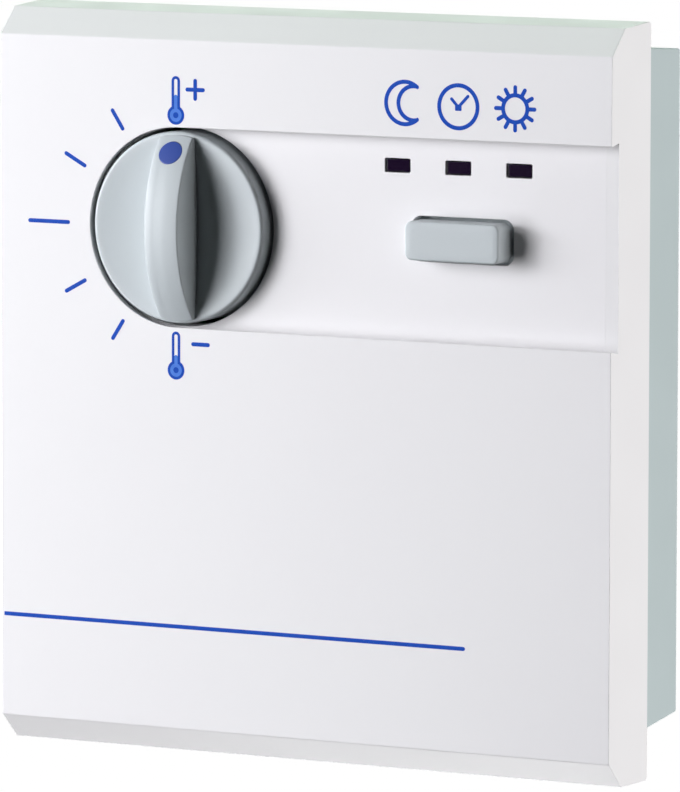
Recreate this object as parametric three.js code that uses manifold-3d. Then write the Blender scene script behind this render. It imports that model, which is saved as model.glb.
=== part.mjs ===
// Wall thermostat: a room unit with a setpoint dial, a mode button and three indicator windows.
// Units are millimetres. +X is right, +Z is up and the room is towards -Y.
// The origin is on the wall, behind the middle of the cover. A depth is a distance from the wall
// towards the room, so that a point at depth d lies at y = -d.

import * as THREE from "three";
import { mergeVertices } from "three/addons/utils/BufferGeometryUtils.js";
import Module from "manifold-3d";

// ---- Driving sizes ----

// Whole unit
const unitWidth = 92;
const unitHeight = 100;
const unitDepth = 29.5; // wall to the flat front of the cover

// Clearances
const partGap = 0.3; // between pieces that seat on each other
const lensGap = 0.15; // round each indicator lens in its window
const dialGap = 0.55; // between the knob's skirt and its opening
const buttonGapX = 0.6;
const buttonGapZ = 0.35;
const cutMargin = 5; // how far a cutter reaches past the face that it cuts
const shortCut = 1; // the same, where other features stand close behind
const joinDepth = 0.5; // how far joined shapes run into each other

// Front cover
const coverDepth = 11.6;
const coverWall = 1.8;
const chamferHeight = 3.5; // along the front face
const chamferDepth = 3.8; // along the top and bottom faces
const ribWidth = 2.5;
const sideRibHeights = [-34, -8];
const endRibOffsets = [-25, 25];
const ventCount = 10;
const ventWidth = 2;
const ventLength = 4.4;
const ventPitch = 4.5;

// Wall base
const baseSideInset = 3; // from the cover's side to the base, at the cover's open edge
const baseTopInset = 3.05;
const baseBottomInset = 4.95;
const baseDraft = 1.3; // how much narrower each side is at the wall
const baseWall = 2;
const baseFloor = 2.5;
const baseOverlap = 4.1; // how far the base reaches into the cover
const bossRadius = 3;
const fixingSlotWidth = 4;
const fixingSlotLength = 9;
const fixingSpacing = 60;
const fixingDrop = 7; // below the board's lower edge
const cableWidth = 26;
const cableHeight = 14;
const cableCorner = 3;

// Control opening
const bandFromTop = 15.2; // top of the cover to the opening's upper edge
const bandFromLeft = 13.95; // cover's left side to the opening's round end

// Control panel
const panelThickness = 1.6;
const panelMargin = 4; // how far it reaches behind the cover round the opening
const panelRim = 1.4;
const collarWall = 1.4;
const collarLength = 3;
const postRadius = 1.8;
const postPinRadius = 1;
const postInset = 2.8;
const postDrop = 4.5;

// Knob
const knobRadius = 12.9;
const knobWall = 1.5;
const knobTop = 1.8;
const knobSkirt = 4.4;
const gripWidth = 5.4;
const gripRise = 5; // crest of the grip above the cover's front
const dishDepth = 0.7; // of the knob's face at its middle
const dishRadius = 12.3; // where the dish runs out
const hubRadius = 5.2;
const dotRadius = 1.65;
const dotDepth = 1.2;
const dotFromCentre = 10;
const clipWall = 0.4;
const clipLength = 2.6;
const clipGap = 2; // between the ends of the open ring

// Button and switch
const buttonFromRight = 22.8;
const buttonWidth = 13.9;
const buttonHeight = 5.2;
const buttonCorner = 1;
const buttonProud = 1.3; // in front of the cover
const buttonTravel = 0.9;
const flangeLip = 1.2;
const flangeThickness = 1;
const stemRadius = 1.6;
const switchSide = 7;
const switchHeight = 4;
const plungerRadius = 1.6;
const plungerInside = 1.8;
const plungerOutside = 1.2;

// Indicators
const windowWidth = 3.8;
const windowHeight = 1.9;
const windowPitch = 9;
const windowShift = -0.7; // middle window from the button's middle
const windowRise = 9.55; // above the button's middle
const windowRecess = 0.2;
const lensLip = 0.7;
const lensFlange = 0.8;
const ledRadius = 1.5;
const ledRimRadius = 1.9;
const ledRimHeight = 1;
const ledHeight = 5.2;

// Circuit board
const boardToPanel = 8.3; // free height between board and panel
const boardThickness = 1.6;
const boardStrip = 13.6; // height of the board's strip below the control panel
const boardEdgeGap = 0.5;
const screwInset = 4.2;
const screwRadius = 1.25;
const screwHeadRadius = 2.5;
const screwHeadHeight = 1.8;
const screwLength = 8;
const screwTipGap = 1; // from the shank's end to the bottom of its pilot hole
const screwHeadEdge = 0.6; // height of the head's bevelled edge
const screwHeadTop = 0.85; // share of the head's radius that stays flat
const screwSlotWidth = 0.7;
const screwSlotDepth = 0.8;

// Potentiometer
const potSide = 16;
const potHeight = 4.6;
const bushRadius = 4.3;
const bushLength = 5;
const bushSunk = 0.5;
const shaftRadius = 3;
const shaftSunk = 0.8;
const shaftRun = 4.4; // how far the shaft reaches into the knob's hub

// Board parts
const terminalWays = 4;
const terminalPitch = 5;
const terminalDepth = 9;
const terminalHeight = 8.6;
const terminalInset = 10; // from the board's left edge
const terminalScrewRadius = 1.7;
const terminalScrewHeight = 2.4;
const terminalScrewSunk = 0.6;
const terminalScrewChamfer = 0.4;
const terminalSlotWidth = 0.6;
const wireHoleSide = 2.6;
const wireHoleDepth = 6;
const wireHoleRise = 1; // above the block's foot
const chipWidth = 12.8;
const chipHeight = 7.5;
const chipThickness = 2.4;
const chipLegLength = 1.3;
const chipLegs = 10;
const chipLegPitch = 1.27;
const chipLegWidth = 0.5;
const resistorRadius = 1.15;
const resistorLength = 6.3;
const resistorDrop = 9.4; // below the button's middle
const resistorLead = 0.35; // half the lead's thickness
const resistorLeadReach = 0.6; // of each lead past the barrel
const resistorStand = 0.2;
const canRadius = 3.15;
const canHeight = 7;
const canGroove = 0.3;
const canGrooveRise = 0.8;
const filmWidth = 7.2;
const filmThickness = 2.5;
const filmHeight = 6.5;
const partSpacing = 3;
const sensorRadius = 1.6;
const sensorReach = 4; // of the bead below the board
const sensorLegRadius = 0.35;
const sensorLegPitch = 1.6;
const sensorFromRight = 12;
const sensorStand = 1.6;

// How finely round shapes are stepped
const roundSteps = 48;
const smallSteps = 16;

// ---- Places worked out from the driving sizes ----

const halfWidth = unitWidth / 2;
const halfHeight = unitHeight / 2;
const coverBack = unitDepth - coverDepth;
const coverInside = unitDepth - coverWall;
const panelFront = coverInside - partGap;
const panelBack = panelFront - panelThickness;
const boardFront = panelBack - boardToPanel;
const boardBack = boardFront - boardThickness;
const partsFoot = boardFront + partGap;
const baseRim = coverBack + baseOverlap;

const openingRadius = knobRadius + dialGap;
const dialX = -halfWidth + bandFromLeft + openingRadius;
const dialZ = halfHeight - bandFromTop - openingRadius;
const buttonX = halfWidth - buttonFromRight;
const buttonZ = dialZ;
const windowZ = buttonZ + windowRise;
const windowXs = [-1, 0, 1].map((step) => buttonX + windowShift + step * windowPitch);
const sideNames = ["left", "middle", "right"];

const panelLeft = dialX - openingRadius - panelMargin;
const panelRight = halfWidth - coverWall - partGap;
const panelTop = dialZ + openingRadius + panelMargin;
const panelBottom = dialZ - openingRadius - panelMargin;

// Half width, top and bottom of the base at a depth, reduced by a wall.
function baseOutline(depth, inset) {
  const draft = baseDraft * (1 - depth / coverBack);
  return {
    half: halfWidth - baseSideInset - draft - inset,
    top: halfHeight - baseTopInset - draft - inset,
    bottom: -halfHeight + baseBottomInset + draft + inset,
  };
}

const boardRoom = baseOutline(boardBack, baseWall + boardEdgeGap);
const boardHalf = boardRoom.half;
const boardTop = boardRoom.top;
const boardBottom = panelBottom - boardStrip;
const screwPlaces = [
  [-boardHalf + screwInset, boardTop - screwInset],
  [boardHalf - screwInset, boardTop - screwInset],
  [-boardHalf + screwInset, boardBottom + screwInset],
  [boardHalf - screwInset, boardBottom + screwInset],
];
const postPlaces = [
  [panelLeft + postInset, panelTop - postDrop],
  [panelLeft + postInset, panelBottom + postDrop],
  [boardHalf - postInset, panelTop - postDrop],
  [boardHalf - postInset, panelBottom + postDrop],
];
const fixingZ = boardBottom - fixingDrop;
const cableZ = (boardBottom + baseOutline(baseFloor, baseWall).bottom) / 2;

// ---- Solids ----

const wasm = await Module();
wasm.setup();

// A closed geometry as a solid that can be joined and cut.
function solid(geometry) {
  const bare = geometry.index ? geometry.toNonIndexed() : geometry.clone();
  bare.deleteAttribute("normal");
  bare.deleteAttribute("uv");
  const merged = mergeVertices(bare, 1e-4);
  return new wasm.Manifold(
    new wasm.Mesh({
      numProp: 3,
      vertProperties: merged.attributes.position.array,
      triVerts: new Uint32Array(merged.index.array),
    }),
  );
}

function join(...solids) {
  return solids.reduce((whole, next) => whole.add(next));
}

function cut(whole, ...cutters) {
  return cutters.reduce((rest, cutter) => rest.subtract(cutter), whole);
}

// A block between two corners in X and Z, from one depth to another.
function block(xLow, xHigh, zLow, zHigh, from, to) {
  const geometry = new THREE.BoxGeometry(xHigh - xLow, to - from, zHigh - zLow);
  geometry.translate((xLow + xHigh) / 2, -(from + to) / 2, (zLow + zHigh) / 2);
  return solid(geometry);
}

// A block of a width and height about a middle point.
function centredBlock(x, z, width, height, from, to) {
  return block(x - width / 2, x + width / 2, z - height / 2, z + height / 2, from, to);
}

// A round rod square to the wall.
function rod(radius, x, z, from, to, steps = smallSteps) {
  const geometry = new THREE.CylinderGeometry(radius, radius, to - from, steps);
  geometry.translate(x, -(from + to) / 2, z);
  return solid(geometry);
}

// A shape turned about a line square to the wall, from points of radius and depth.
function turned(profile, x, z, steps = roundSteps) {
  const points = profile.map(([radius, depth]) => new THREE.Vector2(radius, depth));
  const geometry = new THREE.LatheGeometry(points, steps);
  geometry.rotateX(Math.PI);
  geometry.translate(x, 0, z);
  return solid(geometry);
}

// An outline in X and Z carried from one depth to another.
function plate(shape, from, to) {
  const geometry = new THREE.ExtrudeGeometry(shape, {
    depth: to - from,
    bevelEnabled: false,
    curveSegments: roundSteps / 4,
  });
  geometry.rotateX(Math.PI / 2);
  geometry.translate(0, -from, 0);
  return solid(geometry);
}

// An outline in depth and Z carried across from one X to another.
function acrossX(points, xLow, xHigh) {
  const outline = new THREE.Shape(points.map(([depth, z]) => new THREE.Vector2(-depth, z)));
  const geometry = new THREE.ExtrudeGeometry(outline, { depth: xHigh - xLow, bevelEnabled: false });
  const turn = new THREE.Matrix4().makeBasis(
    new THREE.Vector3(0, 1, 0),
    new THREE.Vector3(0, 0, 1),
    new THREE.Vector3(1, 0, 0),
  );
  geometry.applyMatrix4(turn);
  geometry.translate(xLow, 0, 0);
  return solid(geometry);
}

// A rectangle with rounded corners about a middle point.
function roundedRectangle(x, z, width, height, corner) {
  const shape = new THREE.Shape();
  const right = x + width / 2 - corner;
  const left = x - width / 2 + corner;
  const top = z + height / 2 - corner;
  const bottom = z - height / 2 + corner;
  shape.absarc(right, top, corner, 0, Math.PI / 2);
  shape.absarc(left, top, corner, Math.PI / 2, Math.PI);
  shape.absarc(left, bottom, corner, Math.PI, 1.5 * Math.PI);
  shape.absarc(right, bottom, corner, 1.5 * Math.PI, 2 * Math.PI);
  return shape;
}

// A box whose outline follows the base's draft between two depths.
function draftedBox(inset, from, to) {
  const geometry = new THREE.BoxGeometry(1, 1, 1);
  const position = geometry.attributes.position;
  for (let i = 0; i < position.count; i += 1) {
    const depth = position.getY(i) > 0 ? from : to;
    const outline = baseOutline(depth, inset);
    const x = position.getX(i) > 0 ? outline.half : -outline.half;
    const z = position.getZ(i) > 0 ? outline.top : outline.bottom;
    position.setXYZ(i, x, -depth, z);
  }
  return solid(geometry);
}

// A round screw head with a straight slot, and its shank behind it.
function slottedScrew(x, z, headRadius, headHeight, shankRadius, shankLength, seat) {
  const top = seat + headHeight;
  const screw = turned(
    [
      [0, seat - shankLength],
      [shankRadius, seat - shankLength],
      [shankRadius, seat],
      [headRadius, seat],
      [headRadius, top - screwHeadEdge],
      [headRadius * screwHeadTop, top],
      [0, top],
    ],
    x,
    z,
    smallSteps,
  );
  const length = 2 * headRadius + shortCut;
  const slot = centredBlock(x, z, length, screwSlotWidth, top - screwSlotDepth, top + shortCut);
  return cut(screw, slot);
}

// ---- Pieces of the case ----

// Side profile of the cover, moved in by a wall and open towards the wall at a given depth.
function coverProfile(inset, back) {
  const slope = Math.hypot(chamferHeight, chamferDepth);
  const shorterFront = (inset * (slope - chamferDepth)) / chamferHeight;
  const shorterEnd = (inset * (slope - chamferHeight)) / chamferDepth;
  const front = unitDepth - inset;
  const end = halfHeight - inset;
  const frontEnd = halfHeight - chamferHeight - shorterFront;
  const endFront = unitDepth - chamferDepth - shorterEnd;
  return [
    [back, -end],
    [endFront, -end],
    [front, -frontEnd],
    [front, frontEnd],
    [endFront, end],
    [back, end],
  ];
}

// The control opening: a round end about the dial, running out through the right side.
function controlOpening() {
  const shape = new THREE.Shape();
  const past = halfWidth + cutMargin;
  shape.moveTo(past, dialZ - openingRadius);
  shape.lineTo(past, dialZ + openingRadius);
  shape.absarc(dialX, dialZ, openingRadius, Math.PI / 2, 1.5 * Math.PI);
  return plate(shape, panelFront, unitDepth + cutMargin);
}

function coverRibs() {
  const rim = baseOutline(baseRim, -partGap);
  const inside = halfWidth - coverWall / 2;
  const end = halfHeight - coverWall / 2;
  const ribs = [];
  for (const z of sideRibHeights) {
    ribs.push(block(rim.half, inside, z - ribWidth / 2, z + ribWidth / 2, coverBack, baseRim));
    ribs.push(block(-inside, -rim.half, z - ribWidth / 2, z + ribWidth / 2, coverBack, baseRim));
  }
  for (const x of endRibOffsets) {
    ribs.push(block(x - ribWidth / 2, x + ribWidth / 2, rim.top, end, coverBack, baseRim));
    ribs.push(block(x - ribWidth / 2, x + ribWidth / 2, -end, rim.bottom, coverBack, baseRim));
  }
  return ribs;
}

function bottomVents() {
  const middle = (coverBack + unitDepth - chamferDepth) / 2;
  const vents = [];
  for (let i = 0; i < ventCount; i += 1) {
    const x = (i - (ventCount - 1) / 2) * ventPitch;
    const low = -halfHeight - cutMargin;
    const high = -halfHeight + coverWall + shortCut;
    const from = middle - ventLength / 2;
    vents.push(block(x - ventWidth / 2, x + ventWidth / 2, low, high, from, from + ventLength));
  }
  return vents;
}

function frontCover() {
  const outside = acrossX(coverProfile(0, coverBack), -halfWidth, halfWidth);
  const inside = acrossX(
    coverProfile(coverWall, coverBack - cutMargin),
    -halfWidth + coverWall,
    halfWidth - coverWall,
  );
  const shell = cut(outside, inside);
  return cut(join(shell, ...coverRibs()), controlOpening(), ...bottomVents());
}

function fixingSlot(x, turnedUpright) {
  const width = turnedUpright ? fixingSlotWidth : fixingSlotLength;
  const height = turnedUpright ? fixingSlotLength : fixingSlotWidth;
  const shape = roundedRectangle(x, fixingZ, width, height, fixingSlotWidth / 2);
  return plate(shape, -cutMargin, baseFloor + shortCut);
}

function wallBase() {
  const shell = cut(draftedBox(0, 0, baseRim), draftedBox(baseWall, baseFloor, baseRim + shortCut));
  const bosses = screwPlaces.map(([x, z]) =>
    rod(bossRadius, x, z, baseFloor - joinDepth, boardBack - partGap),
  );
  const pilots = screwPlaces.map(([x, z]) =>
    rod(screwRadius + partGap, x, z, boardBack - screwLength, boardBack + shortCut),
  );
  const cableEntry = plate(
    roundedRectangle(0, cableZ, cableWidth, cableHeight, cableCorner),
    -cutMargin,
    baseFloor + shortCut,
  );
  const slots = [fixingSlot(-fixingSpacing / 2, true), fixingSlot(fixingSpacing / 2, false)];
  return cut(join(shell, ...bosses), ...pilots, cableEntry, ...slots);
}

function controlPanel() {
  const skirtEnd = baseRim + partGap;
  const outside = block(panelLeft, panelRight, panelBottom, panelTop, skirtEnd, panelFront);
  const pocket = block(
    panelLeft + panelRim,
    panelRight - panelRim,
    panelBottom + panelRim,
    panelTop - panelRim,
    skirtEnd - shortCut,
    panelBack,
  );
  const collarEnd = panelBack - collarLength;
  const collarRadius = openingRadius + collarWall;
  const collar = rod(collarRadius, dialX, dialZ, collarEnd, panelBack + joinDepth, roundSteps);
  const holeEnd = panelFront + shortCut;
  const dialHole = rod(openingRadius, dialX, dialZ, collarEnd - shortCut, holeEnd, roundSteps);
  const buttonHole = plate(
    roundedRectangle(
      buttonX,
      buttonZ,
      buttonWidth + 2 * buttonGapX,
      buttonHeight + 2 * buttonGapZ,
      buttonCorner + buttonGapZ,
    ),
    panelBack - shortCut,
    holeEnd,
  );
  const windows = windowXs.map((x) =>
    centredBlock(x, windowZ, windowWidth, windowHeight, panelBack - shortCut, holeEnd),
  );
  const posts = postPlaces.map(([x, z]) =>
    join(
      rod(postRadius, x, z, partsFoot, panelBack + joinDepth),
      rod(postPinRadius, x, z, boardBack - partGap, partsFoot + joinDepth),
    ),
  );
  return cut(join(cut(outside, pocket), collar, ...posts), dialHole, buttonHole, ...windows);
}

// ---- Knob ----

const gripRadius = (knobRadius ** 2 + gripRise ** 2) / (2 * gripRise);
const gripCentre = unitDepth + gripRise - gripRadius;
const knobFoot = unitDepth - knobSkirt;
const bushEnd = partsFoot + bushSunk + bushLength;
const hubEnd = bushEnd + partGap;
const shaftEnd = hubEnd + shaftRun;
const dotTilt = Math.asin(dotFromCentre / gripRadius);

// A rod along the grip's own radius through the pointer dot, between two radii of the crest.
function dotRod(radius, from, to) {
  const geometry = new THREE.CylinderGeometry(radius, radius, to - from, smallSteps);
  geometry.translate(0, (from + to) / 2, 0);
  geometry.rotateX(Math.PI - dotTilt);
  geometry.translate(dialX, -gripCentre, dialZ);
  return solid(geometry);
}

// The shallow hollow of the knob's face, from its edge to its middle.
function dishProfile() {
  const dishSteps = 6;
  const profile = [];
  for (let i = 0; i <= dishSteps; i += 1) {
    const share = 1 - i / dishSteps;
    profile.push([dishRadius * share, unitDepth - dishDepth * (1 - share ** 2)]);
  }
  return profile;
}

function setpointKnob() {
  const shell = turned(
    [
      [shaftRadius + partGap, hubEnd],
      [hubRadius, hubEnd],
      [hubRadius, unitDepth - knobTop],
      [knobRadius - knobWall, unitDepth - knobTop],
      [knobRadius - knobWall, knobFoot],
      [knobRadius, knobFoot],
      [knobRadius, unitDepth],
      ...dishProfile(),
      [0, shaftEnd + partGap],
      [shaftRadius + partGap, shaftEnd + partGap],
      [shaftRadius + partGap, hubEnd],
    ],
    dialX,
    dialZ,
  );
  const crest = [];
  const crestSteps = 24;
  const halfAngle = Math.asin(knobRadius / gripRadius);
  for (let i = 0; i <= crestSteps; i += 1) {
    const angle = halfAngle * ((2 * i) / crestSteps - 1);
    crest.push([gripCentre + gripRadius * Math.cos(angle), dialZ + gripRadius * Math.sin(angle)]);
  }
  crest.push([unitDepth - knobTop / 2, dialZ + knobRadius]);
  crest.push([unitDepth - knobTop / 2, dialZ - knobRadius]);
  const bar = acrossX(crest, dialX - gripWidth / 2, dialX + gripWidth / 2);
  const trim = rod(knobRadius, dialX, dialZ, knobFoot, unitDepth + cutMargin * 2, roundSteps);
  const pocketFloor = gripRadius - dotDepth - lensGap;
  const pocket = dotRod(dotRadius + lensGap, pocketFloor, gripRadius + shortCut);
  return cut(join(shell, bar.intersect(trim)), pocket);
}

function pointerDot() {
  return dotRod(dotRadius, gripRadius - dotDepth, gripRadius);
}

function knobClip() {
  const inner = hubRadius + partGap;
  const outer = inner + clipWall;
  const ring = [
    [inner, hubEnd],
    [outer, hubEnd],
    [outer, hubEnd + clipLength],
    [inner, hubEnd + clipLength],
    [inner, hubEnd],
  ];
  const from = hubEnd - shortCut;
  const to = hubEnd + clipLength + shortCut;
  const high = dialZ + outer + shortCut;
  const gap = block(dialX - clipGap / 2, dialX + clipGap / 2, dialZ, high, from, to);
  return cut(turned(ring, dialX, dialZ, smallSteps), gap);
}

// ---- Potentiometer ----

function potentiometerBody() {
  const body = centredBlock(dialX, dialZ, potSide, potSide, partsFoot, partsFoot + potHeight);
  return cut(body, rod(bushRadius + partGap, dialX, dialZ, partsFoot + bushSunk - partGap, unitDepth));
}

function potentiometerBush() {
  const bush = rod(bushRadius, dialX, dialZ, partsFoot + bushSunk, bushEnd, roundSteps);
  const bore = rod(shaftRadius + partGap, dialX, dialZ, partsFoot + shaftSunk, unitDepth, roundSteps);
  return cut(bush, bore);
}

function potentiometerShaft() {
  return rod(shaftRadius, dialX, dialZ, partsFoot + shaftSunk + partGap, shaftEnd, roundSteps);
}

// ---- Button and switch ----

const plungerTop = partsFoot + switchHeight + plungerOutside;
const flangeFront = panelBack - partGap;

function modeButton() {
  const flangeBack = flangeFront - flangeThickness;
  const cap = plate(
    roundedRectangle(buttonX, buttonZ, buttonWidth, buttonHeight, buttonCorner),
    flangeFront - flangeThickness / 2,
    unitDepth + buttonProud,
  );
  const flange = centredBlock(
    buttonX,
    buttonZ,
    buttonWidth + 2 * (buttonGapX + flangeLip),
    buttonHeight + 2 * (buttonGapZ + flangeLip),
    flangeBack,
    flangeFront,
  );
  const stem = rod(stemRadius, buttonX, buttonZ, plungerTop + partGap, flangeBack + joinDepth);
  return join(cap, flange, stem);
}

function switchBody() {
  const body = centredBlock(
    buttonX,
    buttonZ,
    switchSide,
    switchSide,
    partsFoot,
    partsFoot + switchHeight,
  );
  const bottom = partsFoot + switchHeight - plungerInside - buttonTravel - partGap;
  return cut(body, rod(plungerRadius + partGap, buttonX, buttonZ, bottom, unitDepth));
}

function switchPlunger() {
  return rod(plungerRadius, buttonX, buttonZ, partsFoot + switchHeight - plungerInside, plungerTop);
}

// ---- Indicators ----

function led(x) {
  const shoulder = partsFoot + ledHeight - ledRadius;
  const profile = [
    [0, partsFoot],
    [ledRimRadius, partsFoot],
    [ledRimRadius, partsFoot + ledRimHeight],
    [ledRadius, partsFoot + ledRimHeight],
    [ledRadius, shoulder],
  ];
  const domeSteps = 4;
  for (let i = 1; i < domeSteps; i += 1) {
    const angle = (i / domeSteps) * (Math.PI / 2);
    profile.push([ledRadius * Math.cos(angle), shoulder + ledRadius * Math.sin(angle)]);
  }
  profile.push([0, shoulder + ledRadius]);
  return turned(profile, x, windowZ, smallSteps);
}

function ledWindow(x) {
  const width = windowWidth - 2 * lensGap;
  const height = windowHeight - 2 * lensGap;
  const flangeTop = panelBack - partGap;
  const lensFoot = flangeTop - lensFlange / 2;
  const lens = centredBlock(x, windowZ, width, height, lensFoot, panelFront - windowRecess);
  const flange = centredBlock(
    x,
    windowZ,
    windowWidth + 2 * lensLip,
    windowHeight + 2 * lensLip,
    flangeTop - lensFlange,
    flangeTop,
  );
  return join(lens, flange);
}

// ---- Board and what stands on it ----

function circuitBoard() {
  const board = block(-boardHalf, boardHalf, boardBottom, boardTop, boardBack, boardFront);
  const hole = (radius, [x, z]) => rod(radius + partGap, x, z, boardBack - shortCut, boardFront + shortCut);
  const screwHoles = screwPlaces.map((place) => hole(screwRadius, place));
  const pinHoles = postPlaces.map((place) => hole(postPinRadius, place));
  return cut(board, ...screwHoles, ...pinHoles);
}

const terminalLeft = -boardHalf + terminalInset;
const terminalRight = terminalLeft + terminalWays * terminalPitch;
const terminalZ = boardBottom + terminalDepth / 2 + partGap;
const terminalTop = partsFoot + terminalHeight;
const terminalXs = [];
for (let way = 0; way < terminalWays; way += 1) {
  terminalXs.push(terminalLeft + (way + 0.5) * terminalPitch);
}
const terminalSeat = terminalTop - terminalScrewSunk - terminalScrewHeight;

function terminalBlock() {
  const body = block(
    terminalLeft,
    terminalRight,
    terminalZ - terminalDepth / 2,
    terminalZ + terminalDepth / 2,
    partsFoot,
    terminalTop,
  );
  const screwBores = terminalXs.map((x) =>
    rod(terminalScrewRadius + partGap, x, terminalZ, terminalSeat - partGap, terminalTop + shortCut),
  );
  const wireHoles = terminalXs.map((x) =>
    block(
      x - wireHoleSide / 2,
      x + wireHoleSide / 2,
      terminalZ - terminalDepth / 2 - shortCut,
      terminalZ - terminalDepth / 2 + wireHoleDepth,
      partsFoot + wireHoleRise,
      partsFoot + wireHoleRise + wireHoleSide,
    ),
  );
  return cut(body, ...screwBores, ...wireHoles);
}

function terminalScrew(x) {
  const top = terminalSeat + terminalScrewHeight;
  const screw = turned(
    [
      [0, terminalSeat],
      [terminalScrewRadius - terminalScrewChamfer, terminalSeat],
      [terminalScrewRadius, terminalSeat + terminalScrewChamfer],
      [terminalScrewRadius, top],
      [0, top],
    ],
    x,
    terminalZ,
    smallSteps,
  );
  const length = 2 * terminalScrewRadius + shortCut;
  const bottom = top - screwSlotDepth;
  const slot = centredBlock(x, terminalZ, length, terminalSlotWidth, bottom, top + shortCut);
  return cut(screw, slot);
}

// The chip stands midway between the potentiometer and the switch.
function controllerChip() {
  const x = (dialX + potSide / 2 + buttonX - switchSide / 2) / 2;
  const body = centredBlock(x, dialZ, chipWidth, chipHeight, partsFoot, partsFoot + chipThickness);
  const legs = [];
  for (let i = 0; i < chipLegs; i += 1) {
    const legX = x + (i - (chipLegs - 1) / 2) * chipLegPitch;
    const span = chipHeight + 2 * chipLegLength;
    legs.push(centredBlock(legX, dialZ, chipLegWidth, span, partsFoot, partsFoot + chipLegWidth));
  }
  return join(body, ...legs);
}

// An axial resistor with a barrel body and two bent leads.
function ledResistor(x) {
  const z = buttonZ - resistorDrop;
  const depth = partsFoot + resistorRadius + resistorStand;
  const barrel = new THREE.CylinderGeometry(resistorRadius, resistorRadius, resistorLength, smallSteps);
  barrel.rotateZ(Math.PI / 2);
  barrel.translate(x, -depth, z);
  const reach = resistorLength / 2 + resistorLeadReach;
  const size = 2 * resistorLead;
  const lead = centredBlock(x, z, 2 * reach, size, depth - resistorLead, depth + resistorLead);
  const feet = [-1, 1].map((side) =>
    centredBlock(x + side * reach, z, size, size, partsFoot, depth + resistorLead),
  );
  return join(solid(barrel), lead, ...feet);
}

const stripZ = (boardBottom + panelBottom) / 2;
const filmX = terminalRight + partSpacing + filmWidth / 2;
const canX = filmX + filmWidth / 2 + partSpacing + canRadius;

function filmCapacitor() {
  return centredBlock(filmX, stripZ, filmWidth, filmThickness, partsFoot, partsFoot + filmHeight);
}

function smoothingCapacitor() {
  const top = partsFoot + canHeight;
  return turned(
    [
      [0, partsFoot],
      [canRadius, partsFoot],
      [canRadius, partsFoot + canGrooveRise],
      [canRadius - canGroove, partsFoot + canGrooveRise + canGroove],
      [canRadius, partsFoot + canGrooveRise + 2 * canGroove],
      [canRadius, top - canGroove],
      [canRadius - canGroove, top],
      [0, top],
    ],
    canX,
    stripZ,
    smallSteps,
  );
}

// The sensor's bead hangs below the board on two legs, clear of the board's warmth.
function roomSensor() {
  const x = boardHalf - sensorFromRight;
  const depth = partsFoot + sensorStand;
  const beadZ = boardBottom - sensorReach;
  const bead = new THREE.SphereGeometry(sensorRadius, smallSteps, smallSteps / 2);
  bead.translate(x, -depth, beadZ);
  const legs = [-0.5, 0.5].map((side) => {
    const legX = x + side * sensorLegPitch;
    const footZ = boardBottom + sensorStand;
    const size = 2 * sensorLegRadius;
    const hanging = block(
      legX - sensorLegRadius,
      legX + sensorLegRadius,
      beadZ,
      footZ,
      depth - sensorLegRadius,
      depth + sensorLegRadius,
    );
    const foot = centredBlock(legX, footZ, size, size, partsFoot, depth + sensorLegRadius);
    return join(hanging, foot);
  });
  return join(solid(bead), ...legs);
}

// ---- Materials ----

function finish(color, roughness, metalness = 0) {
  return new THREE.MeshStandardMaterial({ color, roughness, metalness });
}

const coverWhite = finish(0xecebf0, 0.45);
const panelWhite = finish(0xebeaef, 0.45);
const baseGrey = finish(0xb8c2c2, 0.55);
const knobGrey = finish(0xc2cacf, 0.5);
const pointerBlue = finish(0x3c57a8, 0.4);
const smokedLens = finish(0x1c0a26, 0.15);
const boardGreen = finish(0x2f6b43, 0.5);
const brass = finish(0xc9a24a, 0.35, 1);
const steel = finish(0xb9bcc0, 0.35, 1);
const blackPlastic = finish(0x26272a, 0.5);
const terminalGreen = finish(0x3f7f54, 0.5);
const clearResin = finish(0xdfe6d8, 0.15);
const resistorBeige = finish(0xcdb588, 0.5);
const canBlue = finish(0x27304f, 0.3);
const filmYellow = finish(0xb98a2c, 0.4);
const sensorResin = finish(0x7a4a25, 0.3);

// ---- The assembly ----

const thermostat = new THREE.Group();

// Each piece is one mesh, named for what it is.
function place(group, name, manifold, material) {
  const result = manifold.getMesh();
  const geometry = new THREE.BufferGeometry();
  geometry.setAttribute("position", new THREE.BufferAttribute(result.vertProperties, 3));
  geometry.setIndex(new THREE.BufferAttribute(result.triVerts, 1));
  const mesh = new THREE.Mesh(geometry, material);
  mesh.name = name;
  group.add(mesh);
}

const fixedGroup = new THREE.Group();
place(fixedGroup, "wall_base", wallBase(), baseGrey);
place(fixedGroup, "circuit_board", circuitBoard(), boardGreen);
place(fixedGroup, "control_panel", controlPanel(), panelWhite);
place(fixedGroup, "potentiometer_body", potentiometerBody(), blackPlastic);
place(fixedGroup, "potentiometer_bush", potentiometerBush(), brass);
place(fixedGroup, "switch_body", switchBody(), blackPlastic);
place(fixedGroup, "terminal_block", terminalBlock(), terminalGreen);
place(fixedGroup, "controller_chip", controllerChip(), blackPlastic);
place(fixedGroup, "smoothing_capacitor", smoothingCapacitor(), canBlue);
place(fixedGroup, "film_capacitor", filmCapacitor(), filmYellow);
place(fixedGroup, "room_sensor", roomSensor(), sensorResin);
windowXs.forEach((x, i) => {
  place(fixedGroup, `led_${sideNames[i]}`, led(x), clearResin);
  place(fixedGroup, `led_window_${sideNames[i]}`, ledWindow(x), smokedLens);
  place(fixedGroup, `led_resistor_${sideNames[i]}`, ledResistor(x), resistorBeige);
});
terminalXs.forEach((x, i) => {
  place(fixedGroup, `terminal_screw_${i + 1}`, terminalScrew(x), steel);
});
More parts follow.
